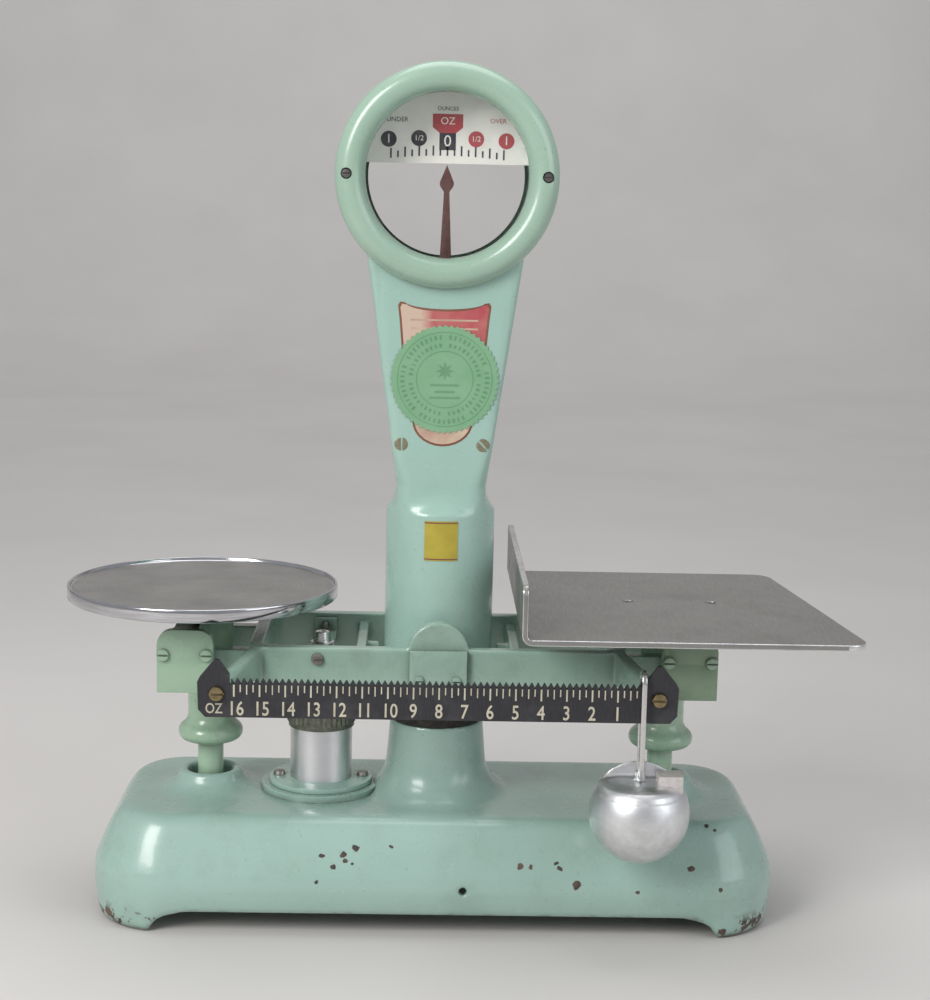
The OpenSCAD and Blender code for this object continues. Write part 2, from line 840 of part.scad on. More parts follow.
module cover_screws() {
    for (x = cover_screws_x, dir = [-1, 1])
        screw_y(x, -dir * (hanger_y + plate_t), cover_screw_z, dir,
            4, 2.2, 1.5, 6.5);
}

// Four grooved blocks that rest on the lever's end knives
module end_bearings() {
    for (y = [-end_arm_y - 7, -end_arm_y + 7, end_arm_y - 7, end_arm_y + 7])
        translate([arm_x, 0, pivot_z + play]) mirror([0, 0, 1])
            slab_y(y - 1.6, y + 1.6) vee(6, 4 - play, 6 / tan(60));
}

// The shank that goes into the base, with a fork for the check link
module stem() {
    difference() {
        union() {
            translate([stem_x, 0, 0]) cylinder_from(stem_r, link_z + 12, 118);
            block([stem_x - stem_r, -12, link_z + 9],
                [arm_x + 8, 12, link_z + 14]);
            for (sy = [-1, 1]) {
                y0 = sy > 0 ? link_slot : -12;
                bar_y(8, y0, y0 + 12 - link_slot, arm_x, link_z);
                block([arm_x - 8, y0, link_z],
                    [arm_x + 8, y0 + 12 - link_slot, link_z + 10]);
            }
        }
        bar_y(3, -13, 13, arm_x, link_z);
    }
}

module link_pin() {
    bar_y(3, -12.5, 12.5, arm_x, link_z);
}

// Cross of four webs that carries a pan; reach is how far each web goes
module spider(reach_x, reach_y, top_z) {
    low = hanger_high;
    difference() {
        translate([spider_x, 0, 0]) union() {
            cylinder_from(15, low, top_z - 3.5);
            for (a = [0:90:270]) rotate([0, 0, a]) slab_y(-4, 4) {
                reach = a % 180 == 0 ? reach_x : reach_y;
                polygon([[0, low], [14, low], [reach, top_z - 5],
                    [reach, top_z], [reach - 9, top_z], [reach - 11, top_z - 3],
                    [15, top_z - 3.5], [0, top_z - 3.5]]);
            }
        }
        for (sy = [-1, 1]) translate([spider_x, sy * 9, low - 1])
            cylinder(r = 2.1, h = 20);
    }
}

module spider_screws(top_z) {
    for (sy = [-1, 1]) translate([spider_x, sy * 9, top_z - 3.5])
        screw(3.4, 2, 1.7, 16);
}

module left_hanger() {
    color(paint) side(-1) hanger_body();
}

module right_hanger() {
    color(paint) side(1) hanger_body();
}

module left_stem() {
    color(paint) side(-1) stem();
}

module right_stem() {
    color(paint) side(1) stem();
}

module left_bearings() {
    color(steel) side(-1) end_bearings();
}

module right_bearings() {
    color(steel) side(1) end_bearings();
}

module left_front_cover() {
    color(paint) side(-1) cover_plate(-1);
}

module left_rear_cover() {
    color(paint) side(-1) cover_plate(1);
}

module right_front_cover() {
    color(paint) side(1) cover_plate(-1);
}

module right_rear_cover() {
    color(paint) side(1) cover_plate(1);
}

module left_cover_screws() {
    color(paint) side(-1) cover_screws();
}

module right_cover_screws() {
    color(paint) side(1) cover_screws();
}

module left_spider() {
    color(black) side(-1) spider(58, 58, pan_low - 0.1);
}

module right_spider() {
    color(black) {
        side(1) spider(40, 62, scoop_low - 0.1);
        for (dx = [-stud_dx, stud_dx])
            translate([spider_x - 1 + dx, 0, scoop_low - 5])
                cylinder(r = 3, h = 5 + scoop_t * 0.85);
    }
}

module left_spider_screws() {
    color(steel) side(-1) spider_screws(pan_low - 0.1);
}

module right_spider_screws() {
    color(steel) side(1) spider_screws(scoop_low - 0.1);
}

module left_link_pin() {
    color(steel) side(-1) link_pin();
}

module right_link_pin() {
    color(steel) side(1) link_pin();
}

// ---- pans
module round_pan() {
    top = pan_rim_z - pan_depth;
    under = top - pan_floor;
    color(bright) translate([-spider_x - 1, 0, 0]) rotate_extrude($fn = 128)
        polygon([[0, under], [50, under], [50, pan_low], [61, pan_low],
            [61, pan_low - 2], [64, pan_low - 2], [64, pan_low],
            [66, pan_low], [66, under], [79, under], [79, pan_low],
            [pan_r - 0.5, pan_low], [pan_r, pan_low + 0.5],
            [pan_r, pan_rim_z - 0.6], [pan_r - 0.6, pan_rim_z],
            [pan_r - 1.6, pan_rim_z], [pan_r - 3.2, top], [0, top]]);
}

scoop_left = 46;
scoop_front = -111;
scoop_back = 92;
scoop_right_front = 246;
scoop_right_back = 221;
flange_top = 220;

// The scoop's plan: the right edge slants, with round corners
module scoop_plan() {
    r = 11;
    slant = atan((scoop_right_front - scoop_right_back)
        / (scoop_back - scoop_front));
    polygon(concat([[scoop_left, scoop_back], [scoop_left, scoop_front]],
        arc(scoop_right_front - r * 1.15, scoop_front + r, r, -90, slant, 6),
        arc(scoop_right_back - r * 0.9, scoop_back - r, r, slant, 90, 6)));
}

module scoop_pan() {
    color(bright) difference() {
        union() {
            translate([0, 0, scoop_low]) linear_extrude(scoop_t)
                scoop_plan();
            block([scoop_left, scoop_front, scoop_low],
                [scoop_left + scoop_t, scoop_back, flange_top]);
        }
        for (dx = [-stud_dx, stud_dx])
            translate([spider_x - 1 + dx, 0, scoop_low - 1])
                cylinder(r = 3.3, h = 6);
        translate([scoop_left - 1, 55, scoop_z + 11]) rotate([0, 90, 0])
            cylinder(r = 3.2, h = 6);
        // the bend's outer corner is round
        translate([scoop_left, 0, scoop_low]) rotate([90, 0, 0])
            linear_extrude(300, center = true) difference() {
                translate([-1, -1]) square(5);
                translate([4, 4]) circle(4);
            }
    }
}

// ---- check link
module check_link() {
    color(steel) difference() {
        union() {
            block([-arm_x, -4, link_z - 5.5], [arm_x, 4, link_z + 5.5]);
            for (x = [-arm_x, 0, arm_x]) bar_y(8, -4, 4, x, link_z);
        }
        bar_y(3.08, -5, 5, 0, link_z);
        for (sx = [-1, 1]) bar_y(3.35, -5, 5, sx * arm_x, link_z);
    }
}

// ---- damper
cup_top = seat_z + 39.5;

module damper_cup() {
    color(bright) difference() {
        translate([-damper_x, 0, 0]) union() {
            cylinder_from(32, seat_z, seat_z + 3);
            cylinder_from(cup_r, seat_z, cup_top);
        }
        translate([-damper_x, 0, 0])
            cylinder_from(cup_r - 2.2, seat_z + 3, cup_top + 1);
        for (sx = [-1, 1]) translate([-damper_x + sx * 26, 0, seat_z - 1])
            cylinder(r = 2.3, h = 5);
    }
}

module damper_screws() {
    color(steel) for (sx = [-1, 1])
        translate([-damper_x + sx * 26, 0, seat_z + 3])
            screw(3.8, 2.4, 2, 8);
}

module damper_cap() {
    knurls = 40;
    color(steel) translate([-damper_x, 0, 0]) difference() {
        union() {
            translate([0, 0, cup_top - 0.5]) linear_extrude(7.5)
                polygon([for (i = [0:2 * knurls - 1])
                    let (a = 180 * i / knurls, r = i % 2 == 0 ? 21.4 : 20.7)
                        [r * cos(a), r * sin(a)]]);
            cylinder_from(20.4, cup_top - 3.5, cup_top);
        }
        cylinder_from(cup_r, cup_top - 4, cup_top);
        cylinder_from(cup_r - 2.2, cup_top - 1, cup_top + 2);
        cylinder_from(2.35, cup_top, cup_top + 10);
    }
}

module damper_plunger() {
    color(steel) translate([-damper_x, 0, 0]) {
        difference() {
            cylinder_from(16.8, seat_z + 13, seat_z + 15.5);
            for (a = [0:60:300]) rotate([0, 0, a]) translate([10, 0, 0])
                cylinder_from(2, seat_z + 12, seat_z + 17);
        }
        cylinder_from(2, seat_z + 15, pivot_z + 0.5);
        cylinder_from(7, pivot_z - 19.2, pivot_z - 17.2);
    }
}

module damper_nut() {
    color(bright) translate([-damper_x, 0, 0]) difference() {
        union() {
            cylinder_from(7.6, pivot_z - 6.7, pivot_z - 5.2);
            translate([0, 0, pivot_z - 5.2])
                cylinder(r1 = 5.6, r2 = 4.4, h = 6.2);
        }
        cylinder_from(2.05, pivot_z - 8, pivot_z + 1);
    }
}

base_casting();
fulcrum_stand();
fulcrum_bearings();
stand_screws();
tower_housing();
tower_rear_cover();
front_bezel();
rear_bezel();
front_glass();
rear_glass();
bezel_screws();
neck_screws();
dial_chart();
shield_label();
round_seal();
sleeve_label();
damper_cup();
damper_cap();
damper_screws();
check_bracket();
bracket_screws();
check_pin();
lever_frame();
fulcrum_knife();
front_fulcrum_cover();
rear_fulcrum_cover();
left_knives();
right_knives();
pointer();
graduated_beam();
beam_screws();
damper_bar();
rail_screws();
left_hanger();
left_stem();
left_bearings();
left_front_cover();
left_rear_cover();
left_cover_screws();
left_spider();
left_spider_screws();
left_link_pin();
right_hanger();
right_stem();
right_bearings();
right_front_cover();
right_rear_cover();
right_cover_screws();
right_spider();
right_spider_screws();
right_link_pin();
round_pan();
scoop_pan();
check_link();
damper_plunger();
damper_nut();
poise_stirrup();
poise_ball();
poise_plug();
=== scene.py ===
import json
import math

import bmesh
import bpy
from mathutils import Matrix, Vector


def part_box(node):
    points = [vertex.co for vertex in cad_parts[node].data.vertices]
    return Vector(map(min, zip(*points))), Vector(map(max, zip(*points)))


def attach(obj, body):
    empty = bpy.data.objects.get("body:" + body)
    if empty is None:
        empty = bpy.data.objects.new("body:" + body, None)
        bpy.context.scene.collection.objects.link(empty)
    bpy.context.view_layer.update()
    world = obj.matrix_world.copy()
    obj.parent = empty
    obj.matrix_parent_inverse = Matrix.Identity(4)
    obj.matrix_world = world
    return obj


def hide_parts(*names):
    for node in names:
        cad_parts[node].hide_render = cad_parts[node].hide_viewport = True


MM = 0.001
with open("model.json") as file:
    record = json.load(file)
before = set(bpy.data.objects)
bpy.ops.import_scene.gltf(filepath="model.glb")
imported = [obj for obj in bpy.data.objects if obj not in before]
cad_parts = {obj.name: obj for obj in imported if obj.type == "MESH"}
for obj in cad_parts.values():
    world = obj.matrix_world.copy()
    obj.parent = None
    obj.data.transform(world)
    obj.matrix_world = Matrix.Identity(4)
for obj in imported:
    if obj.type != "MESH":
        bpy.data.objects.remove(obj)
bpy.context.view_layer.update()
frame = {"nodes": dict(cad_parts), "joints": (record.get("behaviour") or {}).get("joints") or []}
scene = bpy.context.scene


# ---- where things are
def span(node):
    """Lowest and highest corner of a CAD node, in millimetres."""
    low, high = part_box(node)
    return low / MM, high / MM


STEM_R = 7.9  # from the side of the stem's box to its axis
JOINTS = {j["name"]: j for j in frame["joints"]}
PIVOT_Z = JOINTS["lever_rock"]["pos_m"][2] / MM
HEAD_Z = sum(c.z for c in span("front_glass")) / 2
SLEEVE_LOW = span("tower_housing")[0].z
BEAM_FACE = span("graduated_beam")[0].y
POISE_PIN = Vector(JOINTS["poise_swing"]["pos_m"]) / MM
STEM_X = span("right_stem")[0].x + STEM_R
DAMPER_X = sum(c.x for c in span("damper_cup")) / 2

# sizes that a node's box doesn't tell, in millimetres
CORNER = Vector((160, 33))  # middle of a base corner
FOOT = Vector((179, 50))
ARCH_Z = 12.5
BASE_CEILING, BASE_TOP = 63, 68
SLEEVE_R, SLEEVE_BORE_R, SLEEVE_TOP = 33.2, 29.2, 246
NECK_LOW, NECK_HIGH = 262, 400
NECK_HALF_X = (27, 46.5)  # at its low and at its high end
NECK_HALF_Y = 26
TOWER_WALL = 3.5
HEAD_R, HEAD_BORE_R = 63, 54
BEZEL_R, VIEW_R = 65.8, 47.8
BEZEL_SCREW_X = 58.6
NECK_SCREW = (24.3, 288)
BEAM_SCREW_Z = 153.2
NOTCH = 3.64
STRAP_HALF_Y = 6.4  # from the middle of the stirrup to the middle of its strap


# ---- mesh helpers (millimetres in, metres out)
def link(name, bm, sharp=35):
    """A mesh object from a bmesh drawn in millimetres, shaded smooth up to the sharp angle."""
    bmesh.ops.remove_doubles(bm, verts=bm.verts, dist=1e-4)
    bmesh.ops.recalc_face_normals(bm, faces=bm.faces)
    bmesh.ops.scale(bm, vec=(MM, MM, MM), verts=bm.verts)
    mesh = bpy.data.meshes.new(name)
    bm.to_mesh(mesh)
    bm.free()
    obj = bpy.data.objects.new(name, mesh)
    scene.collection.objects.link(obj)
    shade(obj, sharp)
    return obj


def shade(obj, sharp=35):
    obj.data.shade_smooth()
    obj.data.set_sharp_from_angle(angle=math.radians(sharp))


def modify(obj, kind, **settings):
    """Adds a modifier, applies it and leaves a plain mesh."""
    modifier = obj.modifiers.new(kind.lower(), kind)
    for key, value in settings.items():
        setattr(modifier, key, value)
    bpy.context.view_layer.update()
    graph = bpy.context.evaluated_depsgraph_get()
    mesh = bpy.data.meshes.new_from_object(obj.evaluated_get(graph))
    obj.modifiers.clear()
    obj.data = mesh
    return obj


def combine(obj, tools, operation="DIFFERENCE"):
    """Cuts each tool out of obj, or joins or keeps what they share, and removes the tools."""
    for tool in tools if isinstance(tools, list) else [tools]:
        modify(obj, "BOOLEAN", operation=operation, object=tool, solver="EXACT")
        bpy.data.objects.remove(tool)
    return obj


def soften(obj, width, segments=3, angle=32):
    """Rounds the edges that are sharper than angle."""
    bm = bmesh.new()
    bm.from_mesh(obj.data)
    bmesh.ops.remove_doubles(bm, verts=bm.verts, dist=2e-6)
    bmesh.ops.dissolve_limit(bm, angle_limit=math.radians(1), verts=bm.verts, edges=bm.edges)
    bm.to_mesh(obj.data)
    bm.free()
    modify(obj, "BEVEL", width=width * MM, segments=segments, limit_method="ANGLE",
           angle_limit=math.radians(angle), use_clamp_overlap=True, harden_normals=False)
    shade(obj, 40)
    return obj


def cast(obj, voxel, smooth):
    """Turns a closed mesh into an even skin whose edges are rounded as a casting's are."""
    modify(obj, "REMESH", mode="VOXEL", voxel_size=voxel * MM)
    modify(obj, "SMOOTH", factor=0.5, iterations=smooth)
    obj.data.shade_smooth()
    return obj


def copy_node(node, name):
    """A new piece with the shape of a CAD node."""
    obj = bpy.data.objects.new(name, frame["nodes"][node].data.copy())
    scene.collection.objects.link(obj)
    bm = bmesh.new()
    bm.from_mesh(obj.data)
    bmesh.ops.remove_doubles(bm, verts=bm.verts, dist=2e-6)
    bm.to_mesh(obj.data)
    bm.free()
    obj.data.materials.clear()
    return obj


def lathe(name, profile, centre=(0, 0, 0), steps=96, axis="Z", sharp=35):
    """Turns a closed outline of (radius, height) points about an axis through centre."""
    bm = bmesh.new()
    rings = []
    for r, z in profile:
        if r < 1e-6:
            rings.append([bm.verts.new((0, 0, z))])
        else:
            rings.append([bm.verts.new((r * math.cos(a), r * math.sin(a), z))
                          for a in (2 * math.pi * i / steps for i in range(steps))])
    pairs = list(zip(rings, rings[1:] + rings[:1]))
    for low, high in pairs:
        if len(low) == 1 and len(high) == 1:
            continue
        for i in range(steps):
            j = (i + 1) % steps
            corners = [low[i % len(low)], low[j % len(low)], high[j % len(high)], high[i % len(high)]]
            corners = list(dict.fromkeys(corners))
            bm.faces.new(corners)
    turn = {"Z": Matrix(), "Y": Matrix.Rotation(math.pi / 2, 4, "X"),
            "-Y": Matrix.Rotation(-math.pi / 2, 4, "X"), "X": Matrix.Rotation(math.pi / 2, 4, "Y")}[axis]
    bmesh.ops.transform(bm, matrix=Matrix.Translation(Vector(centre)) @ turn, verts=bm.verts)
    return link(name, bm, sharp)


def prism(name, outline, low, high, plane="XZ", sharp=35):
    """An outline drawn in one plane and pulled along the third axis from low to high."""
    turned = {"XZ": lambda u, v, w: (u, w, v), "XY": lambda u, v, w: (u, v, w),
              "YZ": lambda u, v, w: (w, u, v)}[plane]
    bm = bmesh.new()
    ends = [[bm.verts.new(turned(u, v, w)) for u, v in outline] for w in (low, high)]
    count = len(outline)
    for i in range(count):
        j = (i + 1) % count
        bm.faces.new((ends[0][i], ends[0][j], ends[1][j], ends[1][i]))
    bm.faces.new(ends[0])
    bm.faces.new(ends[1])
    return link(name, bm, sharp)


def box(name, low, high):
    outline = [(low[0], low[1]), (high[0], low[1]), (high[0], high[1]), (low[0], high[1])]
    return prism(name, outline, low[2], high[2], "XY")


def rod(name, r, low, high, x, z, steps=48):
    """A round bar along Y."""
    outline = arc(x, z, r, 0, 360 - 360 / steps, steps - 1)
    return prism(name, outline, low, high, "XZ")


def arc(cx, cy, r, a0, a1, n, ry=None):
    ry = r if ry is None else ry
    angles = [math.radians(a0 + (a1 - a0) * i / n) for i in range(n + 1)]
    return [(cx + r * math.cos(a), cy + ry * math.sin(a)) for a in angles]


def rounded(outline, radius, n=6):
    """The outline with each corner replaced by an arc; radius is a number or one for each corner."""
    result = []
    count = len(outline)
    for i, point in enumerate(outline):
        r = radius[i] if isinstance(radius, list) else radius
        here = Vector(point)
        back = (Vector(outline[i - 1]) - here).normalized()
        on = (Vector(outline[(i + 1) % count]) - here).normalized()
        half = back.angle(on) / 2
        if r <= 0 or half < 0.02 or half > math.pi / 2 - 0.02:
            result.append(tuple(here))
            continue
        middle = here + (back + on).normalized() * (r / math.sin(half))
        start = here + back * (r / math.tan(half)) - middle
        turn = (here + on * (r / math.tan(half)) - middle)
        swing = start.angle_signed(turn)
        for k in range(n + 1):
            result.append(tuple(middle + Matrix.Rotation(-swing * k / n, 2) @ start))
    return result


def sweep(name, path, section, up=(1, 0, 0)):
    """Pulls a closed section, given as (across, along up) points, along a path of points."""
    bm = bmesh.new()
    rings = []
    count = len(path)
    for i, point in enumerate(path):
        along = (Vector(path[min(i + 1, count - 1)]) - Vector(path[max(i - 1, 0)])).normalized()
        side = along.cross(Vector(up)).normalized()
        rise = side.cross(along).normalized()
        rings.append([bm.verts.new(Vector(point) + side * u + rise * v) for u, v in section])
    size = len(section)
    for a, b in zip(rings, rings[1:]):
        for i in range(size):
            j = (i + 1) % size
            bm.faces.new((a[i], a[j], b[j], b[i]))
    bm.faces.new(rings[0])
    bm.faces.new(rings[-1])
    return link(name, bm)


def ring_points(cx, cy, r, z, arc_n=14, long_n=30, short_n=8):
    """Points round a rectangle whose corners are arcs of radius r about (+-cx, +-cy)."""
    points = []
    for quarter, (sx, sy) in enumerate(((1, 1), (-1, 1), (-1, -1), (1, -1))):
        for i in range(arc_n + 1):
            a = math.radians(90 * quarter + 90 * i / arc_n)
            points.append(Vector((sx * cx + r * math.cos(a), sy * cy + r * math.sin(a), z)))
        nxt = ((-1, 1), (-1, -1), (1, -1), (1, 1))[quarter]
        a = math.radians(90 * (quarter + 1))
        end = Vector((nxt[0] * cx + r * math.cos(a), nxt[1] * cy + r * math.sin(a), z))
        steps = long_n if quarter % 2 == 0 else short_n
        start = points[-1].copy()
        points += [start.lerp(end, k / steps) for k in range(1, steps)]
    return points


def loft(name, loops, capped=True):
    """Skins a list of loops that all have the same number of points."""
    bm = bmesh.new()
    rings = [[bm.verts.new(p) for p in loop] for loop in loops]
    size = len(loops[0])
    for a, b in zip(rings, rings[1:]):
        for i in range(size):
            j = (i + 1) % size
            bm.faces.new((a[i], a[j], b[j], b[i]))
    if capped:
        bm.faces.new(rings[0])
        bm.faces.new(rings[-1])
    return link(name, bm)


def join(name, objects):
    """One object from several closed ones."""
    bm = bmesh.new()
    for obj in objects:
        bm.from_mesh(obj.data)
        bpy.data.objects.remove(obj)
    mesh = bpy.data.meshes.new(name)
    bm.to_mesh(mesh)
    bm.free()
    obj = bpy.data.objects.new(name, mesh)
    scene.collection.objects.link(obj)
    shade(obj)
    return obj


def place(obj, body, material, replaces=()):
    """Gives a finished piece its material and body, and hides the CAD nodes that it stands for."""
    if material is not None:
        obj.data.materials.clear()
        obj.data.materials.append(material)
    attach(obj, body)
    if replaces:
        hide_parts(*replaces)
    return obj


def second_finish(obj, material, chosen):
    """Gives a second material to the faces whose middle and normal the test chooses."""
    obj.data.materials.append(material)
    for face in obj.data.polygons:
        if chosen(face.center / MM, face.normal):
            face.material_index = 1


# ---- materials
class Shader:
    """A material with short ways to add its nodes."""

    def __init__(self, name):
        self.material = bpy.data.materials.new(name)
        self.material.use_nodes = True
        self.tree = self.material.node_tree
        self.bsdf = self.tree.nodes["Principled BSDF"]
        self.coords = self.tree.nodes.new("ShaderNodeTexCoord").outputs["Object"]

    def node(self, kind, inputs=(), **settings):
        node = self.tree.nodes.new(kind)
        for key, value in settings.items():
            setattr(node, key, value)
        for key, value in dict(inputs).items():
            self.feed(node.inputs[key], value)
        return node

    def feed(self, socket, value):
        if isinstance(value, bpy.types.NodeSocket):
            self.tree.links.new(value, socket)
        else:
            socket.default_value = value

    def stretch(self, scale, rotation=(0, 0, 0)):
        return self.node("ShaderNodeMapping", {"Vector": self.coords, "Scale": scale,
                                               "Rotation": rotation}).outputs[0]

    def noise(self, scale, detail=3.0, rough=0.55, vector=None):
        return self.node("ShaderNodeTexNoise", {"Vector": vector or self.coords, "Scale": scale,
                                                "Detail": detail, "Roughness": rough}).outputs["Fac"]

    def ramp(self, fac, low, high, a=0.0, b=1.0):
        return self.node("ShaderNodeMapRange", {"Value": fac, "From Min": low, "From Max": high,
                                                "To Min": a, "To Max": b}).outputs[0]

    def math(self, operation, a, b=0.0):
        node = self.node("ShaderNodeMath", operation=operation, use_clamp=operation != "MULTIPLY")
        self.feed(node.inputs[0], a)
        self.feed(node.inputs[1], b)
        return node.outputs[0]

    def mix(self, fac, a, b, blend="MIX"):
        node = self.tree.nodes.new("ShaderNodeMix")
        node.data_type = "RGBA"
        node.blend_type = blend
        for key, value in ((0, fac), (6, a), (7, b)):
            self.feed(node.inputs[key], value if isinstance(value, bpy.types.NodeSocket) or key == 0
                      else (*value, 1.0))
        return node.outputs[2]

    def bump(self, height, strength, distance=0.0002, normal=None):
        inputs = {"Height": height, "Strength": strength, "Distance": distance}
        if normal is not None:
            inputs["Normal"] = normal
        return self.node("ShaderNodeBump", inputs).outputs[0]

    def place_along(self, axis):
        """One object coordinate, in metres."""
        return self.node("ShaderNodeSeparateXYZ", {"Vector": self.coords}).outputs[axis]

    def crevice(self, reach=0.007):
        """How deep a point lies in a corner, from 0 to 1."""
        open_sky = self.node("ShaderNodeAmbientOcclusion", {"Distance": reach}, samples=4).outputs["AO"]
        return self.ramp(open_sky, 0.80, 0.35)

    def edges(self, radius=0.0012, low=0.06, high=0.25):
        """How close a point is to an outer edge, from 0 to 1."""
        rounded_normal = self.node("ShaderNodeBevel", {"Radius": radius}, samples=6).outputs[0]
        geometry = self.tree.nodes.new("ShaderNodeNewGeometry")
        dot = self.node("ShaderNodeVectorMath", operation="DOT_PRODUCT")
        self.feed(dot.inputs[0], rounded_normal)
        self.feed(dot.inputs[1], geometry.outputs["Normal"])
        return self.ramp(self.math("SUBTRACT", 1.0, dot.outputs["Value"]), low, high)

    def done(self, color, rough, metallic=0.0, normal=None, **inputs):
        self.feed(self.bsdf.inputs["Base Color"], color if isinstance(color, bpy.types.NodeSocket)
                  else (*color, 1.0))
        self.feed(self.bsdf.inputs["Roughness"], rough)
        self.feed(self.bsdf.inputs["Metallic"], metallic)
        if normal is not None:
            self.feed(self.bsdf.inputs["Normal"], normal)
        for key, value in inputs.items():
            self.bsdf.inputs[key.replace("_", " ")].default_value = value
        return self.material


def enamel(name, light, dark, wear=0.5, chips=(), grime=0.35, worn_foot=False, corners=0.9):
    """Old glossy enamel: uneven colour, orange peel, worn edges, grime, painted shade with grime in corners
    and gaps, and chips down to the metal.
    """
    s = Shader(name)
    cloud = s.ramp(s.noise(9, 4), 0.35, 0.68)
    color = s.mix(cloud, light, dark)
    speck = s.ramp(s.noise(420, 2, 0.6), 0.66, 0.74)
    color = s.mix(s.math("MULTIPLY", speck, 0.25), color, (0.10, 0.13, 0.10))
    dirt = s.math("MULTIPLY", s.ramp(s.noise(34, 5, 0.65), 0.52, 0.75), grime)
    color = s.mix(dirt, color, (0.16, 0.20, 0.15))
    # painted shade with some grime: where the ambient-occlusion test finds a corner or gap, the colour goes
    # towards dark olive, patchily; corners sets how strong
    corner_shade_strength = s.ramp(s.noise(48, 4, 0.6), 0.25, 0.6, corners / 2, corners)
    corner_shade_and_grime = s.math("MULTIPLY", s.crevice(), corner_shade_strength)
    color = s.mix(corner_shade_and_grime, color, (0.060, 0.068, 0.040))
    gaps = s.noise(75, 4, 0.7)
    worn = s.math("MULTIPLY", s.edges(), s.ramp(gaps, 0.62 - 0.16 * wear, 0.70 - 0.10 * wear))
    worn = s.ramp(worn, 0.25, 0.5)
    if worn_foot:
        near_table = s.ramp(s.place_along(2), 0.016, 0.009)
        low = s.math("MULTIPLY", near_table, s.ramp(s.noise(66, 4, 0.7), 0.53, 0.56))
        worn = s.math("MAXIMUM", worn, low)
    for x, y, z, r in chips:
        away = s.node("ShaderNodeVectorMath", operation="DISTANCE")
        wobble = s.node("ShaderNodeTexNoise", {"Vector": s.coords, "Scale": 260.0, "Detail": 2.0})
        shifted = s.node("ShaderNodeVectorMath", operation="MULTIPLY_ADD")
        s.feed(shifted.inputs[0], wobble.outputs["Color"])
        shifted.inputs[1].default_value = (0.0035, 0.0035, 0.0035)
        s.feed(shifted.inputs[2], s.coords)
        s.feed(away.inputs[0], shifted.outputs[0])
        away.inputs[1].default_value = (x * MM + 0.0018, y * MM + 0.0018, z * MM + 0.0018)
        spot = s.ramp(away.outputs["Value"], r * MM, r * MM * 0.82)
        worn = s.math("MAXIMUM", worn, spot)
    bare = s.mix(s.ramp(s.noise(190, 3), 0.4, 0.62), (0.035, 0.028, 0.026), (0.12, 0.07, 0.045))
    color = s.mix(worn, color, bare)
    rough = s.ramp(s.noise(26, 4), 0.3, 0.7, 0.20, 0.34)
    rough = s.math("ADD", rough, s.math("MULTIPLY", worn, 0.4))
    peel = s.bump(s.noise(130, 2), 0.10, 0.0004)
    normal = s.bump(s.math("SUBTRACT", 1.0, worn), 0.7, 0.0003, peel)
    return s.done(color, rough, 0.0, normal, Coat_Weight=0.35, Coat_Roughness=0.12)


def metal(name, light, dark, rough=(0.25, 0.4), grain=(1, 1, 1), grain_scale=300, bump=0.15,
          metallic=1.0, stain=(0.2, 0.19, 0.17), stains=0.3):
    """Metal with a drawn or turned grain, stains and small scratches."""
    s = Shader(name)
    lines = s.noise(grain_scale, 3, 0.6, s.stretch(grain))
    color = s.mix(s.ramp(lines, 0.35, 0.65), light, dark)
    patch = s.math("MULTIPLY", s.ramp(s.noise(38, 5, 0.65), 0.5, 0.72), stains)
    color = s.mix(patch, color, stain)
    uneven = s.math("ADD", s.math("MULTIPLY", lines, 0.5), s.math("MULTIPLY", s.noise(45, 4), 0.5))
    rubbed = s.ramp(uneven, 0.4, 0.6, *rough)
    normal = s.bump(lines, bump, 0.0001)
    return s.done(color, rubbed, metallic, normal)


def printed(name, color, shadow, rough=0.55, scale=500, bump=0.05, bleached=None):
    """Printed paper or card, a little faded; bleached is the colour that its left side fades to."""
    s = Shader(name)
    faded = s.mix(s.ramp(s.noise(60, 4), 0.35, 0.7), color, shadow)
    fibre = s.noise(scale, 3)
    faded = s.mix(s.ramp(fibre, 0.6, 0.8, 0.0, 0.25), faded, shadow)
    if bleached:
        leftward = s.math("MULTIPLY", s.place_along(0), -1.0)
        side = s.math("ADD", leftward, s.math("MULTIPLY", s.noise(55, 4, 0.6), 0.012))
        faded = s.mix(s.ramp(side, 0.012, 0.020), faded, bleached)
    uneven = s.ramp(fibre, 0.3, 0.7, rough - 0.06, rough + 0.06)
    return s.done(faded, uneven, 0.0, s.bump(fibre, bump, 0.0001))


def pan_floor(name, centre):
    """Stainless plate, dulled by use, with rings from the lathe and scratches both ways."""
    s = Shader(name)
    to_centre = [-c * MM for c in centre]
    shifted = s.node("ShaderNodeMapping", {"Vector": s.coords, "Location": to_centre}).outputs[0]
    apart = s.node("ShaderNodeSeparateXYZ", {"Vector": shifted})
    radius = s.node("ShaderNodeMath", operation="SQRT")
    squares = s.math("ADD", s.math("MULTIPLY", apart.outputs[0], apart.outputs[0]),
                     s.math("MULTIPLY", apart.outputs[1], apart.outputs[1]))
    s.feed(radius.inputs[0], squares)
    ring_count = s.math("MULTIPLY", radius.outputs[0], 900.0)
    rings = s.node("ShaderNodeTexNoise", {"W": ring_count, "Scale": 1.0, "Detail": 2.0},
                   noise_dimensions="1D").outputs["Fac"]
    across = s.noise(120, 4, 0.7, s.stretch((14, 0.6, 1), (0, 0, 0.5)))
    along = s.noise(120, 4, 0.7, s.stretch((0.6, 12, 1), (0, 0, -0.3)))
    scratch = s.math("MAXIMUM", s.ramp(across, 0.66, 0.72), s.ramp(along, 0.67, 0.74))
    cloud = s.ramp(s.noise(30, 5, 0.6), 0.35, 0.7)
    color = s.mix(cloud, (0.36, 0.35, 0.335), (0.27, 0.26, 0.25))
    color = s.mix(s.math("MULTIPLY", scratch, 0.35), color, (0.55, 0.54, 0.53))
    rough = s.ramp(rings, 0.3, 0.7, 0.36, 0.48)
    normal = s.bump(rings, 0.12, 0.0001, s.bump(scratch, 0.1, 0.0001))
    return s.done(color, rough, 0.85, normal)


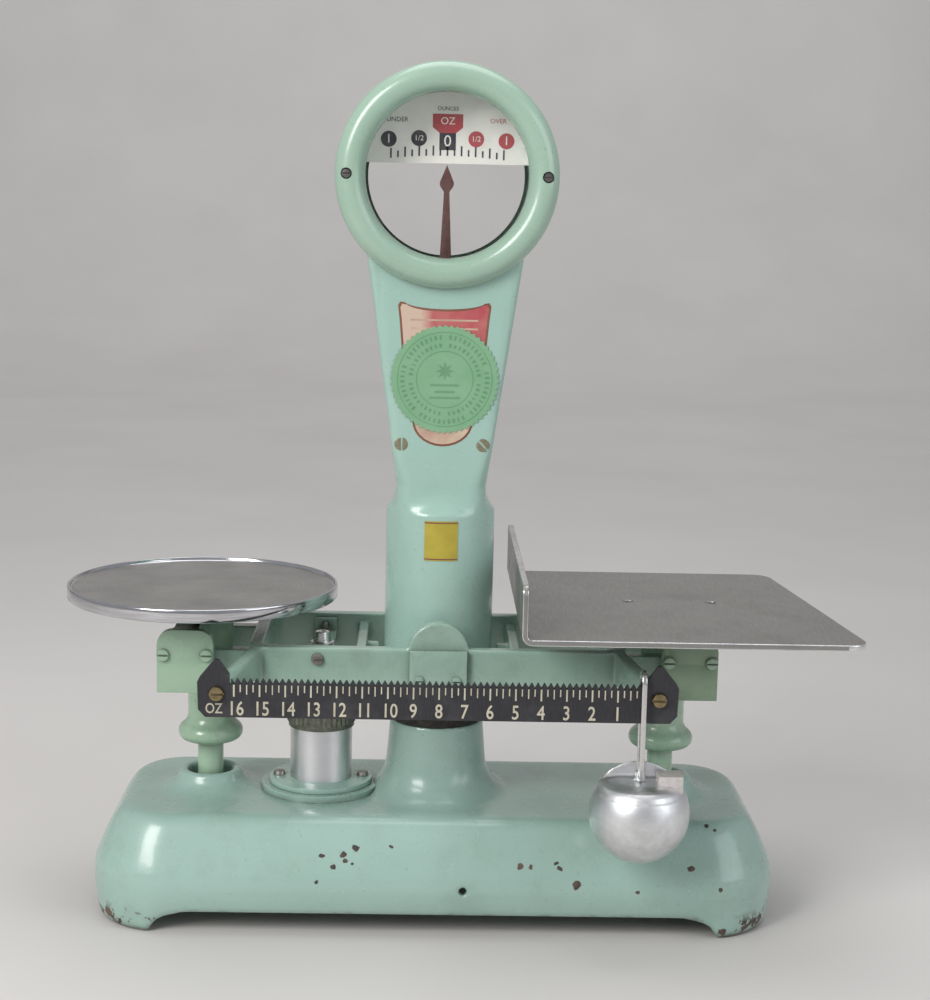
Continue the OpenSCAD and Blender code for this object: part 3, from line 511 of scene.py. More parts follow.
def glass(name):
    s = Shader(name)
    smudge = s.ramp(s.noise(22, 3), 0.45, 0.75, 0.0, 0.07)
    return s.done((1.0, 1.0, 1.0), smudge, 0.0, None, Transmission_Weight=1.0, IOR=1.15, Alpha=0.09)


GREEN = ((0.330, 0.480, 0.425), (0.288, 0.428, 0.372))
GREEN_TOWER = ((0.350, 0.520, 0.455), (0.308, 0.468, 0.402))
GREEN_LEVER = ((0.300, 0.435, 0.365), (0.250, 0.375, 0.305))
M = {
    "lever": enamel("lever_enamel", *GREEN_LEVER, wear=0.8, grime=0.4),
    "tower": enamel("tower_enamel", *GREEN_TOWER, wear=0.35, grime=0.1, corners=0.3),
    "bezel": enamel("bezel_enamel", (0.335, 0.480, 0.380), (0.290, 0.425, 0.330), wear=0.35, grime=0.1,
                    corners=0.2),
    "hanger": enamel("hanger_enamel", (0.330, 0.475, 0.345), (0.272, 0.400, 0.280), wear=0.6, grime=0.3),
    "hanger_right": enamel("hanger_olive", (0.238, 0.345, 0.225), (0.190, 0.285, 0.178), wear=0.5,
                           grime=0.3),
    "worn_steel": metal("worn_screw_steel", (0.20, 0.19, 0.18), (0.12, 0.115, 0.11), (0.4, 0.6),
                        stains=0.5),
    "yellow_steel": metal("yellowish_steel", (0.42, 0.38, 0.27), (0.28, 0.25, 0.17), (0.35, 0.5),
                          stains=0.4),
    "brass": metal("dark_brass", (0.34, 0.27, 0.15), (0.20, 0.155, 0.085), (0.3, 0.45), stains=0.4),
    "steel": metal("plain_steel", (0.42, 0.40, 0.37), (0.28, 0.26, 0.24), (0.35, 0.55), stains=0.5),
    "bright": metal("bright_steel", (0.78, 0.77, 0.76), (0.62, 0.61, 0.60), (0.16, 0.3), (1, 1, 12),
                    stains=0.15),
    "black": metal("black_iron", (0.05, 0.05, 0.05), (0.02, 0.02, 0.02), (0.45, 0.7), metallic=0.2,
                   bump=0.4),
    "scoop": metal("scoop_aluminium", (0.345, 0.335, 0.320), (0.30, 0.292, 0.28), (0.38, 0.5),
                   (10, 0.9, 1), 80, 0.04, 0.9, (0.22, 0.213, 0.205), 0.35),
    "scoop_edge": metal("scoop_cut_edge", (0.86, 0.86, 0.86), (0.72, 0.72, 0.72), (0.18, 0.3), (1, 1, 8),
                        200),
    "pan_rim": metal("pan_rim", (0.62, 0.62, 0.64), (0.46, 0.46, 0.48), (0.08, 0.16), (1, 1, 20), 60, 0.03,
                     stains=0.1),
    "poise": metal("poise_aluminium", (0.78, 0.79, 0.80), (0.68, 0.69, 0.70), (0.36, 0.46), grain_scale=160,
                   bump=0.06, stain=(0.46, 0.43, 0.40)),
    "plug": metal("plug_metal", (0.70, 0.655, 0.635), (0.58, 0.54, 0.52), (0.45, 0.6), stains=0.3,
                  metallic=0.6),
    "damper": metal("turned_aluminium", (0.76, 0.76, 0.77), (0.72, 0.72, 0.73), (0.34, 0.40),
                    (1, 1, 2), 60, 0.01, stains=0.08),
    "cap": metal("knurled_cap", (0.22, 0.22, 0.18), (0.14, 0.145, 0.115), (0.4, 0.6), metallic=0.8),
    "beam": metal("beam_black", (0.028, 0.028, 0.034), (0.018, 0.018, 0.022), (0.42, 0.55),
                  (8, 1, 1), 200, 0.2, 0.1, (0.10, 0.095, 0.09), 0.35),
    "pointer": metal("pointer_lacquer", (0.175, 0.085, 0.075), (0.11, 0.055, 0.05), (0.35, 0.5),
                     metallic=0.3),
    "cream": printed("cream_paint", (0.56, 0.52, 0.41), (0.38, 0.35, 0.27), 0.5),
    "card": printed("dial_card", (0.88, 0.86, 0.81), (0.80, 0.78, 0.73), 0.6),
    "ink": printed("dial_ink", (0.045, 0.045, 0.06), (0.09, 0.085, 0.09), 0.5),
    "red_ink": printed("dial_red", (0.50, 0.075, 0.09), (0.42, 0.12, 0.12), 0.5),
    "label_red": printed("label_red", (0.40, 0.055, 0.075), (0.46, 0.14, 0.13), 0.42, 220,
                         bleached=(0.56, 0.42, 0.33)),
    "label_cream": printed("label_cream", (0.56, 0.45, 0.33), (0.44, 0.27, 0.21), 0.45, 160),
    "label_brown": printed("label_brown", (0.17, 0.055, 0.035), (0.22, 0.10, 0.06), 0.45),
    "seal": printed("seal_foil", (0.180, 0.365, 0.205), (0.215, 0.400, 0.240), 0.38, 240, 0.1),
    "seal_ink": printed("seal_ink", (0.115, 0.265, 0.140), (0.145, 0.310, 0.170), 0.4),
    "yellow": printed("label_yellow", (0.47, 0.385, 0.045), (0.36, 0.29, 0.035), 0.4, 200),
    "pan": pan_floor("pan_floor", ((span("round_pan")[0].x + span("round_pan")[1].x) / 2, 0, 0)),
    "glass": glass("dial_glass"),
    "dark": metal("dark_oil", (0.03, 0.026, 0.022), (0.015, 0.013, 0.011), (0.5, 0.7), metallic=0.3),
}

# ---- base casting
BASE_OUTER = [(41.5, 0), (43.6, 1.5), (45, 6), (46.2, 14), (47, 25), (46.9, 31), (46.1, 36), (44.2, 41),
              (41.6, 47), (38.9, 53), (36.2, 58), (33.6, 62), (31, 65), (27.5, 67.2), (22.5, BASE_TOP)]


def on_front(x, z, r):
    """A chip of radius r on the base's front; the outline tells how far forward that is."""
    for (r0, z0), (r1, z1) in zip(BASE_OUTER, BASE_OUTER[1:]):
        if z0 <= z <= z1:
            side = r0 + (r1 - r0) * (z - z0) / (z1 - z0)
            round_x = max(0.0, abs(x) - CORNER.x)
            return x, -CORNER.y - math.sqrt(side * side - round_x * round_x), z, r
    raise ValueError(z)


# where the paint is chipped: x, z and radius
BASE_CHIPS = [on_front(*spot) for spot in (
    (-67, 48, 1.6), (-54, 49, 2.0), (-53, 45.5, 1.6), (-47, 52.5, 2.2), (-60, 42.5, 1.8),
    (-49, 44, 1.2), (-26, 53.5, 1.3), (-69, 34, 1.3), (50, 44, 2.0), (57, 43.5, 1.6), (72, 46, 1.4),
    (74, 43, 1.6), (84, 34, 3.2), (152, 44, 2.2), (162, 66, 1.6), (167, 64, 1.4), (170, 32, 1.4),
    (120, 30, 1.2))]


def arch_height(x, y):
    """How far the casting's lower edge is above the table at a place on its outline."""
    along, half, end = (abs(y), 38, 18) if abs(x) > CORNER.x + 23 else (abs(x), 169, 24)
    if along >= half:
        return 0.0
    reach = max(0.0, along - (half - end)) / end
    return ARCH_Z * math.sqrt(1 - reach * reach)


def base_loops(profile):
    loops = []
    for r, z in profile:
        loop = ring_points(CORNER.x, CORNER.y, r, z)
        for p in loop:
            if z < 30:
                p.z += arch_height(p.x, p.y) * (1 - z / 30)
        loops.append(loop)
    return loops


def build_base():
    outer = BASE_OUTER
    inner = [(20, BASE_CEILING), (26, 62), (30, 59), (33, 55), (38, 45), (41, 37), (42, 30), (42, 20),
             (41, 8), (39.5, 0)]
    shell = loft("cast_base", base_loops(outer + inner), capped=False)
    bm = bmesh.new()
    bm.from_mesh(shell.data)
    bm.verts.ensure_lookup_table()
    size = len(ring_points(CORNER.x, CORNER.y, 1, 0))
    rows = [[bm.verts[k * size + i] for i in range(size)] for k in range(len(outer) + len(inner))]
    top = len(outer)
    for i in range(size):
        j = (i + 1) % size
        face = bm.faces.get((rows[top - 1][i], rows[top - 1][j], rows[top][j], rows[top][i]))
        bm.faces.remove(face)
        bm.faces.new((rows[-1][i], rows[-1][j], rows[0][j], rows[0][i]))
    bm.faces.new(rows[top - 1])
    bm.faces.new(rows[top])
    bmesh.ops.recalc_face_normals(bm, faces=bm.faces)
    bm.to_mesh(shell.data)
    bm.free()
    buried = BASE_CEILING + 1  # where the raised shapes start, inside the top wall
    mound = [(0, buried), (37, buried)] + arc(37, BASE_TOP + 10, 17.5, 270, 180, 10, 10)
    mound += [(18.9, BASE_TOP + 11), (17.5, BASE_TOP + 11.4), (0, BASE_TOP + 11.4)]
    seat = [(0, buried), (36.9, buried), (36.9, 71.5), (36.4, 72), (0, 72)]
    foot = [(0, 0), (8, 0), (9, 1), (18.5, 12), (18.5, 18), (0, 18)]
    pedestal = [(0, buried), (50, buried)] + arc(49, 92, 18.4, 270, 183, 14, 24.2)
    pedestal += [(28.9, 112), (28.2, 114), (0, 114)]
    stem_hole = [(0, 40), (13.8, 40), (13.8, 90), (0, 90)]
    pedestal_hollow = [(0, 50), (30, 50), (30, 64), (22, 104), (0, 104)]
    added = [lathe("mound", mound, (sx * STEM_X, 0, 0)) for sx in (-1, 1)]
    added.append(lathe("pedestal", pedestal))
    added += [lathe("foot", foot, (sx * FOOT.x, sy * FOOT.y, 0), 32) for sx in (-1, 1) for sy in (-1, 1)]
    combine(shell, added, "UNION")
    holes = [lathe("hole", stem_hole, (sx * STEM_X, 0, 0)) for sx in (-1, 1)]
    holes += [lathe("hollow", pedestal_hollow), rod("hole", 2.5, -95, -60, 16.8, 29, 24)]
    combine(shell, holes)
    cast(shell, 1.5, 5)
    combine(shell, lathe("seat", seat, (DAMPER_X, 0, 0)), "UNION")
    shade(shell, 40)
    paint = enamel("base_enamel", *GREEN, wear=0.55, chips=BASE_CHIPS, grime=0.22, worn_foot=True)
    place(shell, "frame", paint, ["base_casting"])


build_base()


# ---- tower
def neck_half_x(z):
    """Half width of the neck, which is widest where it meets the head."""
    low, high = NECK_HALF_X
    return low if z <= NECK_LOW else low + (z - NECK_LOW) / (NECK_HIGH - NECK_LOW) * (high - low)


def neck_loops(inset, low, high):
    """Rounded rectangles up the neck, inset from its outside."""
    corner = 4
    loops = []
    for z in (low, NECK_LOW, 300, 340, NECK_HIGH, high):
        half = neck_half_x(z) - inset
        loops.append(ring_points(half - corner, NECK_HALF_Y - corner - inset, corner, z, 8, 4, 4))
    return loops


def tower_loop(z):
    """The tower's outline at a height: a circle in the sleeve, a rounded rectangle in the neck."""
    up = min(1.0, max(0.0, (z - SLEEVE_TOP) / (NECK_LOW - SLEEVE_TOP)))
    square = 1 - (1 - up) ** 2.4
    half_x = neck_half_x(z)
    corner = 10 - 6 * min(1.0, max(0.0, (z - NECK_LOW) / 28))
    middle = Vector((half_x - corner, NECK_HALF_Y - corner))
    loop = []
    for i in range(128):
        a = 2 * math.pi * (i + 0.5) / 128
        ray = Vector((abs(math.cos(a)), abs(math.sin(a))))
        reach = min(half_x / ray.x, NECK_HALF_Y / ray.y)
        if reach * ray.x > middle.x and reach * ray.y > middle.y:
            along = middle.dot(ray)
            reach = along + math.sqrt(max(0.0, along * along - middle.length_squared + corner * corner))
        r = SLEEVE_R + (reach - SLEEVE_R) * square
        loop.append((r * math.cos(a), r * math.sin(a), z))
    return loop


def build_tower():
    shoulder = range(SLEEVE_TOP, NECK_LOW + 1, 2)
    heights = [SLEEVE_LOW, 200, *shoulder, 266, 272, 280, 290, 340, NECK_HIGH + 2]
    sleeve = loft("tower_front", [tower_loop(z) for z in heights])
    drum = [(0, -NECK_HALF_Y), (HEAD_R - 1.6, -NECK_HALF_Y), (HEAD_R, -NECK_HALF_Y + 1.4),
            (HEAD_R, NECK_HALF_Y - 1.4), (HEAD_R - 1.6, NECK_HALF_Y), (0, NECK_HALF_Y)]
    combine(sleeve, [lathe("drum", drum, (0, 0, HEAD_Z), 128, "Y")], "UNION")
    slot_r = 8
    sleeve_bore = [(0, 110), (SLEEVE_BORE_R, 110), (SLEEVE_BORE_R, SLEEVE_TOP + 2), (0, SLEEVE_TOP + 2)]
    tools = [lathe("bore", sleeve_bore),
             loft("bore", neck_loops(TOWER_WALL, SLEEVE_TOP - 2, NECK_HIGH + 4)),
             rod("bore", HEAD_BORE_R, -22, 22, 0, HEAD_Z, 96), rod("view", 50, -40, 40, 0, HEAD_Z, 96)]
    slot = [(-slot_r, 100), (slot_r, 100)] + arc(0, PIVOT_Z + 4.5, slot_r, 0, 180, 16)
    tools.append(prism("slot", slot, -40, 40))
    combine(sleeve, tools)
    cast(sleeve, 1.1, 4)
    rear = bpy.data.objects.new("tower_rear", sleeve.data.copy())
    scene.collection.objects.link(rear)
    seam = 0.16
    combine(sleeve, [box("keep", (-90, -seam, NECK_LOW - seam), (90, 90, 600))])
    combine(rear, [box("keep", (-90, seam, NECK_LOW + seam), (90, 90, 600))], "INTERSECT")
    for obj in (sleeve, rear):
        shade(obj, 50)
    place(sleeve, "frame", M["tower"], ["tower_housing"])
    place(rear, "frame", M["tower"], ["tower_rear_cover"])


build_tower()


def build_bezels():
    middle, half = (BEZEL_R + VIEW_R) / 2, (BEZEL_R - VIEW_R) / 2
    outline = arc(middle, 0, half, 0, 180, 36, 10) + [(VIEW_R + 0.6, 2.9), (53.8, 2.9), (53.8, 0)]
    for name, node, side in (("bezel_front", "front_bezel", -1), ("bezel_rear", "rear_bezel", 1)):
        face = side * NECK_HALF_Y
        axis = "Y" if side < 0 else "-Y"
        obj = lathe(name, outline, (0, face, HEAD_Z), 160, axis, 45)
        depths = sorted((face + side * 6.6, face + side * 20))
        holes = [rod("hole", 3.3, *depths, sx * BEZEL_SCREW_X, HEAD_Z, 32) for sx in (-1, 1)]
        combine(obj, holes)
        shade(obj, 40)
        place(obj, "frame", M["bezel"], [node])


build_bezels()


# ---- pans
def build_round_pan():
    low, high = span("round_pan")
    x, rim, r = (low.x + high.x) / 2, high.z, 82.4
    foot = rim - 7.9
    top = rim - 2.2
    web = top - 3.6
    under = [(0, web), (50, web), (50, foot), (61, foot), (61, foot - 2), (64, foot - 2), (64, foot),
             (66, foot), (66, web), (79, web), (79, foot + 0.3), (79.3, foot), (r - 0.6, foot),
             (r, foot + 0.6)]
    lip = [(r, rim - 0.9), (r - 0.2, rim - 0.3), (r - 0.6, rim), (81.1, rim), (80.8, rim - 0.2),
           (80.5, top + 0.9), (80.2, top + 0.3), (79.6, top)]
    bowl = [(70, top), (40, top), (0, top)]
    obj = lathe("weighing_plate", under + lip + bowl, (x, 0, 0), 192, sharp=50)
    place(obj, "left_pan", M["pan"], ["round_pan"])
    second_finish(obj, M["pan_rim"], lambda spot, n: math.hypot(spot.x - x, spot.y) > 79.8)


build_round_pan()


def build_scoop():
    low, high = span("scoop_pan")
    thick, bend, stud_dx = 3.5, 6.0, 25.7
    top = low.z + thick
    left = low.x
    outline = [(left, high.z), (left, low.z + bend)] + arc(left + bend, low.z + bend, bend, 180, 270, 8)
    outline += [(high.x + 10, low.z), (high.x + 10, top)]
    outline += arc(left + bend, low.z + bend, bend - thick, 270, 180, 6) + [(left + thick, high.z)]
    obj = prism("scoop_tray", outline, low.y, high.y)
    plan = [(left - 5, low.y), (high.x, low.y), (high.x - 25, high.y), (left - 5, high.y)]
    combine(obj, [prism("plan", rounded(plan, [0, 12, 12, 0], 10), 100, 300, "XY")], "INTERSECT")
    round_top = arc(low.y + 5, high.z - 5, 5, 180, 90, 6)
    outside = [(low.y - 1, high.z + 1), (low.y - 1, high.z - 5)] + round_top + [(low.y + 5, high.z + 1)]
    hole_x = sum(c.x for c in span("right_spider")) / 2 - 1
    stud_hole = [(0, 150), (3.3, 150), (3.3, 200), (0, 200)]
    hanging_hole = [(0, -20), (3.2, -20), (3.2, 20), (0, 20)]
    tools = [prism("corner", outside, left - 5, left + 9, "YZ")]
    tools += [lathe("hole", stud_hole, (hole_x + dx, 0, 0), 32) for dx in (-stud_dx, stud_dx)]
    tools.append(lathe("hole", hanging_hole, (left, 55, top + 11), 32, "X"))
    combine(obj, tools)
    soften(obj, 0.6, 3, 30)
    place(obj, "right_pan", M["scoop"], ["scoop_pan"])

    def cut_edge(spot, n):
        at_hole = min(math.hypot(spot.x - hole_x - dx, spot.y) for dx in (-stud_dx, stud_dx)) < 5
        rim = abs(n.z) < 0.8 and spot.z < top + 0.1 and spot.x > left + 12
        flange_top = n.z > 0.8 and spot.z > high.z - 1
        flange_end = abs(n.y) > 0.8 and spot.x < left + 12
        return (rim or flange_top or flange_end) and not at_hole
    second_finish(obj, M["scoop_edge"], cut_edge)


build_scoop()


# ---- poise
def build_poise():
    x, y = POISE_PIN.x, POISE_PIN.y
    ball = copy_node("poise_ball", "poise_weight")
    low = POISE_PIN.z - 21.7
    # a dome just inside the ball's surface, which leaves only the top of the CAD's front scoop open
    dome = [(0, 8), (26, 8), (26, 12), (24.8, 15), (22.8, 17), (19.5, 18.3), (14, 19), (0, 19)]
    combine(ball, lathe("dome", dome, (x, y, low), 96), "UNION")
    cast(ball, 0.55, 12)
    place(ball, "poise", M["poise"], ["poise_ball"])
    plug = soften(copy_node("poise_plug", "shot_plug"), 1.1, 3)
    place(plug, "poise", M["plug"], ["poise_plug"])
    half, top = STRAP_HALF_Y, 163.0
    leg = [(4.0, POISE_PIN.z - 1.6), (4.4, 112), (5.4, 120), (half, 128), (half, 146)]
    angles = [math.pi * i / 16 for i in range(17)]
    bend = [(y - half * math.cos(a), top + half * math.sin(a)) for a in angles]
    path = [(x, y - across, z) for across, z in leg] + [(x, along, z) for along, z in bend]
    path += [(x, y + across, z) for across, z in reversed(leg)]
    section = rounded([(-0.9, -1.5), (0.9, -1.5), (0.9, 1.5), (-0.9, 1.5)], 0.7, 4)
    strip = sweep("stirrup_strip", path, section)
    pin_rod = rod("pin", 1.4, y - 5, y + 5, x, POISE_PIN.z, 24)
    knife = copy_node("poise_stirrup", "knife")
    combine(knife, [box("keep", (x - 1.3, y - 5.2, 150), (x + 1.3, y + 5.2, 168.2))], "INTERSECT")
    stirrup = join("stirrup", [strip, knife, pin_rod])
    place(stirrup, "stirrup", M["bright"], ["poise_stirrup"])


build_poise()


# ---- figures and printing
def text(name, words, size, at, depth=0.25, rear=False, squeeze=1.0, bold=0.0):
    """Generic figures as a thin raised mesh, centred at a place and facing -Y, or +Y on the rear."""
    curve = bpy.data.curves.new(name, "FONT")
    curve.body = words
    curve.size = size * MM
    curve.align_x = "CENTER"
    curve.align_y = "CENTER"
    curve.extrude = depth * MM / 2
    curve.resolution_u = 3
    curve.offset = bold * MM
    obj = bpy.data.objects.new(name, curve)
    scene.collection.objects.link(obj)
    bpy.context.view_layer.update()
    mesh = bpy.data.meshes.new_from_object(obj.evaluated_get(bpy.context.evaluated_depsgraph_get()))
    bpy.data.objects.remove(obj)
    turn = Matrix.Rotation(math.pi, 4, "Z") if rear else Matrix()
    mesh.transform(Matrix.Translation(Vector(at) * MM) @ turn @ Matrix.Rotation(math.pi / 2, 4, "X")
                   @ Matrix.Diagonal((squeeze, 1, 1, 1)))
    obj = bpy.data.objects.new(name, mesh)
    scene.collection.objects.link(obj)
    bm = bmesh.new()
    bm.from_mesh(mesh)
    bmesh.ops.remove_doubles(bm, verts=bm.verts, dist=1e-6)
    bm.to_mesh(mesh)
    bm.free()
    return obj


def bar(width, low, high, x, y, depth=0.2):
    """A thin upright mark on a face that looks to -Y."""
    return box("mark", (x - width / 2, y - depth, low), (x + width / 2, y, high))


def build_beam_marks():
    face, middle, zero = BEAM_FACE, BEAM_SCREW_Z, POISE_PIN.x
    marks = []
    for k in range(1, 65):
        x = zero - k * NOTCH
        bottom = -1.7 if k % 4 == 0 else -0.4 if k % 2 == 0 else 1.0
        width = 0.95 if k % 4 == 0 else 0.7
        marks.append(bar(width, middle + bottom, middle + 5.2, x, face))
    for number in range(1, 17):
        at = (zero - number * 4 * NOTCH + (1.2 if number > 9 else 0), face - 0.1, middle - 9)
        marks.append(text("figure", str(number), 11.6, at, squeeze=0.8, bold=0.12))
    marks.append(text("figure", "OZ", 8.4, (-127.5, face - 0.1, middle - 9), squeeze=0.8, bold=0.08))
    place(join("beam_figures", marks), "lever", M["cream"])


def build_chart_marks():
    radius = 292.6  # of the row of marks, about the lever's pivot
    dark, red = [], []
    for rear in (False, True):
        side = 1 if rear else -1
        face = side * 0.9
        flip = -1 if rear else 1
        low_y, high_y = sorted((face, face + side * 0.15))
        for k in range(-8, 9):
            x = k * 4.2
            z = PIVOT_Z + math.sqrt(radius * radius - x * x)
            top = z + (5.5 if k % 2 == 0 else 3.5)
            dark.append(box("mark", (x - 0.5, low_y, z - 0.4), (x + 0.5, high_y, top)))
        for x, z, store in ((-35.0, 467.4, dark), (-17.0, 468.2, dark),
                            (17.0, 468.2, red), (35.0, 467.4, red)):
            disc = lathe("disc", [(0, 0), (4.7, 0), (4.7, 0.15), (0, 0.15)], (flip * x, face, z), 40,
                         "Y" if side < 0 else "-Y")
            store.append(disc)
        dark.append(box("zero", (-4.9, low_y, 461.5), (4.9, high_y, 471.5)))
        outline = [(-9, 482.6), (-9, 474.8), (-4.9, 471.5), (4.9, 471.5), (9, 474.8), (9, 482.6)]
        red.append(prism("tab", outline, low_y, high_y))
        dark.append(text("word", "UNDER", 3.9, (flip * -30, face + side * 0.08, 478.9), 0.14, rear))
        red.append(text("word", "OVER", 3.9, (flip * 30, face + side * 0.08, 478.9), 0.14, rear))
        dark.append(text("word", "OUNCES", 3.2, (0, face + side * 0.08, 485.7), 0.14, rear))
    place(join("chart_print_dark", dark), "frame", M["ink"])
    place(join("chart_print_red", red), "frame", M["red_ink"])
    pale = []
    for rear in (False, True):
        side = 1 if rear else -1
        at = side * 1.1
        flip = -1 if rear else 1
        for words, x, z, size in (("1", -35.0, 467.4, 7.4), ("1/2", -17.0, 468.2, 4.4),
                                  ("0", 0, 466.6, 9.5),
                                  ("1/2", 17.0, 468.2, 4.4), ("1", 35.0, 467.4, 7.4), ("OZ", 0, 478.4, 6)):
            pale.append(text("figure", words, size, (flip * x, at, z), 0.12, rear))
    place(join("chart_figures", pale), "frame", M["card"])


build_beam_marks()
build_chart_marks()


def build_labels():
    face = -NECK_HALF_Y
    # shield: brown border, red field above, cream field below
    def shield(inset):
        side = [(x - inset, z) for x, z in ((26.5, 362), (25, 345), (22.5, 325), (18.6, 306))]
        ears = [(26.4 - inset, 372.6 - inset), (27.5 - inset, 370.5 - inset)]
        top = arc(0, 373 - inset, 24 - inset, 190, 350, 16, 4.5)
        low = arc(0, 302, 18 - inset, 0, -180, 14, 15 - inset)
        mirrored = [(-x, z) for x, z in reversed(ears + side)]
        return top + ears + side + low + mirrored
    border = prism("border", shield(0), face - 0.12, face, sharp=30)
    place(border, "frame", M["label_brown"], ["shield_label"])
    field = prism("shield_field", shield(1.3), face - 0.18, face - 0.12)
    cream = bpy.data.objects.new("shield_foot", field.data.copy())
    scene.collection.objects.link(cream)
    combine(field, [box("below", (-40, -40, 200), (40, 0, 316))])
    combine(cream, [box("above", (-40, -40, 316), (40, 0, 500))])
    border.name = "shield_border"
    place(field, "frame", M["label_red"])
    place(cream, "frame", M["label_cream"])
    stripes = [box("line", (-20, face - 0.24, z), (20, face - 0.18, z + 1.1)) for z in (361.5, 356.5)]
    place(join("shield_lines", stripes), "frame", M["label_cream"])
    # seal: toothed foil with rings of small bars and a rosette
    centre = Vector((0.8, 327.0))
    teeth = 56
    rim = []
    for i in range(teeth * 4):
        a = 2 * math.pi * i / (teeth * 4)
        r = 31.7 + 0.75 * math.cos(a * teeth)
        rim.append((centre.x + r * math.cos(a), centre.y + r * math.sin(a)))
    seal = prism("seal_disc", rim, face - 0.6, face - 0.24, sharp=60)
    place(seal, "frame", M["seal"], ["round_seal"])
    ink = []
    front = face - 0.6

    def ring(r0, r1):
        outline = [(r0, 0), (r1, 0), (r1, 0.12), (r0, 0.12)]
        ink.append(lathe("ring", outline, (centre.x, front, centre.y), 96, "Y"))
    ring(27.9, 28.3)
    ring(16.6, 17.0)
    for radius, count, tall in ((25.2, 54, 2.6), (20.4, 44, 2.2)):
        for i in range(count):
            if (i * 7) % 11 == 0:
                continue
            a = 2 * math.pi * i / count
            width = 0.9 + 0.6 * ((i * 5) % 3) / 2
            glyph = box("bar", (-width / 2, -0.12, -tall / 2), (width / 2, 0, tall / 2))
            glyph.data.transform(Matrix.Translation(Vector((centre.x, front, centre.y)) * MM)
                                 @ Matrix.Rotation(a, 4, "Y") @ Matrix.Translation((0, 0, radius * MM)))
            ink.append(glyph)
    star = []
    for i in range(16):
        a = math.pi * i / 8
        r = 5.6 if i % 2 == 0 else 2.4
        star.append((centre.x + r * math.sin(a), centre.y + 5 + r * math.cos(a)))
    ink.append(prism("rosette", star, front - 0.12, front))
    for z, half in ((-4, 8.5), (-8, 6), (-11.5, 9)):
        ink.append(box("line", (centre.x - half, front - 0.12, centre.y + z),
                       (centre.x + half, front, centre.y + z + 1.3)))
    place(join("seal_print", ink), "frame", M["seal_ink"])
    # yellow label round the sleeve
    parts, lines = [], []
    for store, depth, z0, z1 in ((parts, 0.3, 218.7, 242.7), (lines, 0.38, 219.3, 220.1),
                                 (lines, 0.38, 241.3, 242.1)):
        angles = [math.radians(-90 + k) for k in (-16.6, -12, -7, -2, 3, 8, 13, 18)]
        outline = [(SLEEVE_R + depth, a) for a in angles] + [(SLEEVE_R - 0.1, a) for a in reversed(angles)]
        outline = [(r * math.cos(a), r * math.sin(a)) for r, a in outline]
        store.append(prism("wrap", outline, z0, z1, "XY", 60))
    place(join("sleeve_tag", parts), "frame", M["yellow"], ["sleeve_label"])
    place(join("sleeve_tag_lines", lines), "frame", M["label_brown"])


build_labels()

# ---- cast and machined parts that keep their CAD shape, with rounded edges
for node, name, body, voxel, smooth, material, slot in (
        ("lever_frame", "lever_casting", "lever", 0.9, 3, "lever", "lever_paint"),
        ("left_hanger", "left_hanger_casting", "left_side", 0.8, 5, "hanger", "lever_paint"),
        ("right_hanger", "right_hanger_casting", "right_side", 0.8, 5, "hanger", "lever_paint"),
        ("left_spider", "left_pan_carrier", "left_side", 0.9, 3, "black", "black_iron"),
        ("right_spider", "right_pan_carrier", "right_side", 0.9, 3, "black", "black_iron"),
        ("check_bracket", "check_bracket_casting", "frame", 1.0, 3, "lever", "lever_paint")):
    place(cast(copy_node(node, name), voxel, smooth), body, M[material], [node])

for node, body, width, material, slot in (
        ("front_fulcrum_cover", "lever", 0.8, "lever", "lever_paint"),
        ("rear_fulcrum_cover", "lever", 0.8, "lever", "lever_paint"),
        ("left_front_cover", "left_side", 0.6, "hanger", "lever_paint"),
        ("left_rear_cover", "left_side", 0.6, "hanger", "lever_paint"),
        ("right_front_cover", "right_side", 0.6, "hanger_right", "lever_paint"),
        ("right_rear_cover", "right_side", 0.6, "hanger_right", "lever_paint"),
        ("left_cover_screws", "left_side", 0.3, "hanger", "lever_paint"),
        ("right_cover_screws", "right_side", 0.3, "hanger", "lever_paint"),
        ("left_stem", "left_side", 0.8, "hanger", "lever_paint"),
        ("right_stem", "right_side", 0.8, "hanger", "lever_paint"),
        ("fulcrum_stand", "frame", 0.8, "dark", "plain_steel"),
        ("check_link", "check_bar", 0.6, "steel", "plain_steel"),
        ("damper_bar", "lever", 0.6, "lever", "plain_steel"),
        ("damper_cup", "frame", 0.5, "damper", "damper_metal"),
        ("damper_cap", "frame", 0.4, "cap", "damper_cap"),
        ("damper_nut", "plunger", 0.5, "bright", "bright_steel"),
        ("damper_screws", "frame", 0.3, "steel", "plain_steel"),
        ("bezel_screws", "frame", 0.25, "worn_steel", "plain_steel"),
        ("neck_screws", "frame", 0.3, "yellow_steel", "plain_steel"),
        ("rail_screws", "lever", 0.3, "steel", "plain_steel"),
        ("beam_screws", "lever", 0.35, "brass", "bright_steel"),
        ("pointer", "lever", 0.12, "pointer", "pointer")):
    piece = place(soften(copy_node(node, node + "_piece"), width), body, M[material], [node])
    if node == "damper_cup":
        flange_top = span(node)[0].z + 3.3
        second_finish(piece, M["tower"], lambda spot, n: spot.z < flange_top)
    if node == "rail_screws":
        second_finish(piece, M["lever"], lambda spot, n: abs(spot.x) < 20)
    if node == "neck_screws":
        for vertex in piece.data.vertices:
            side, angle = (1, 45) if vertex.co.x > 0 else (-1, 90)
            middle = Vector((side * NECK_SCREW[0], 0, NECK_SCREW[1])) * MM
            vertex.co = middle + Matrix.Rotation(math.radians(angle), 3, "Y") @ (vertex.co - middle)

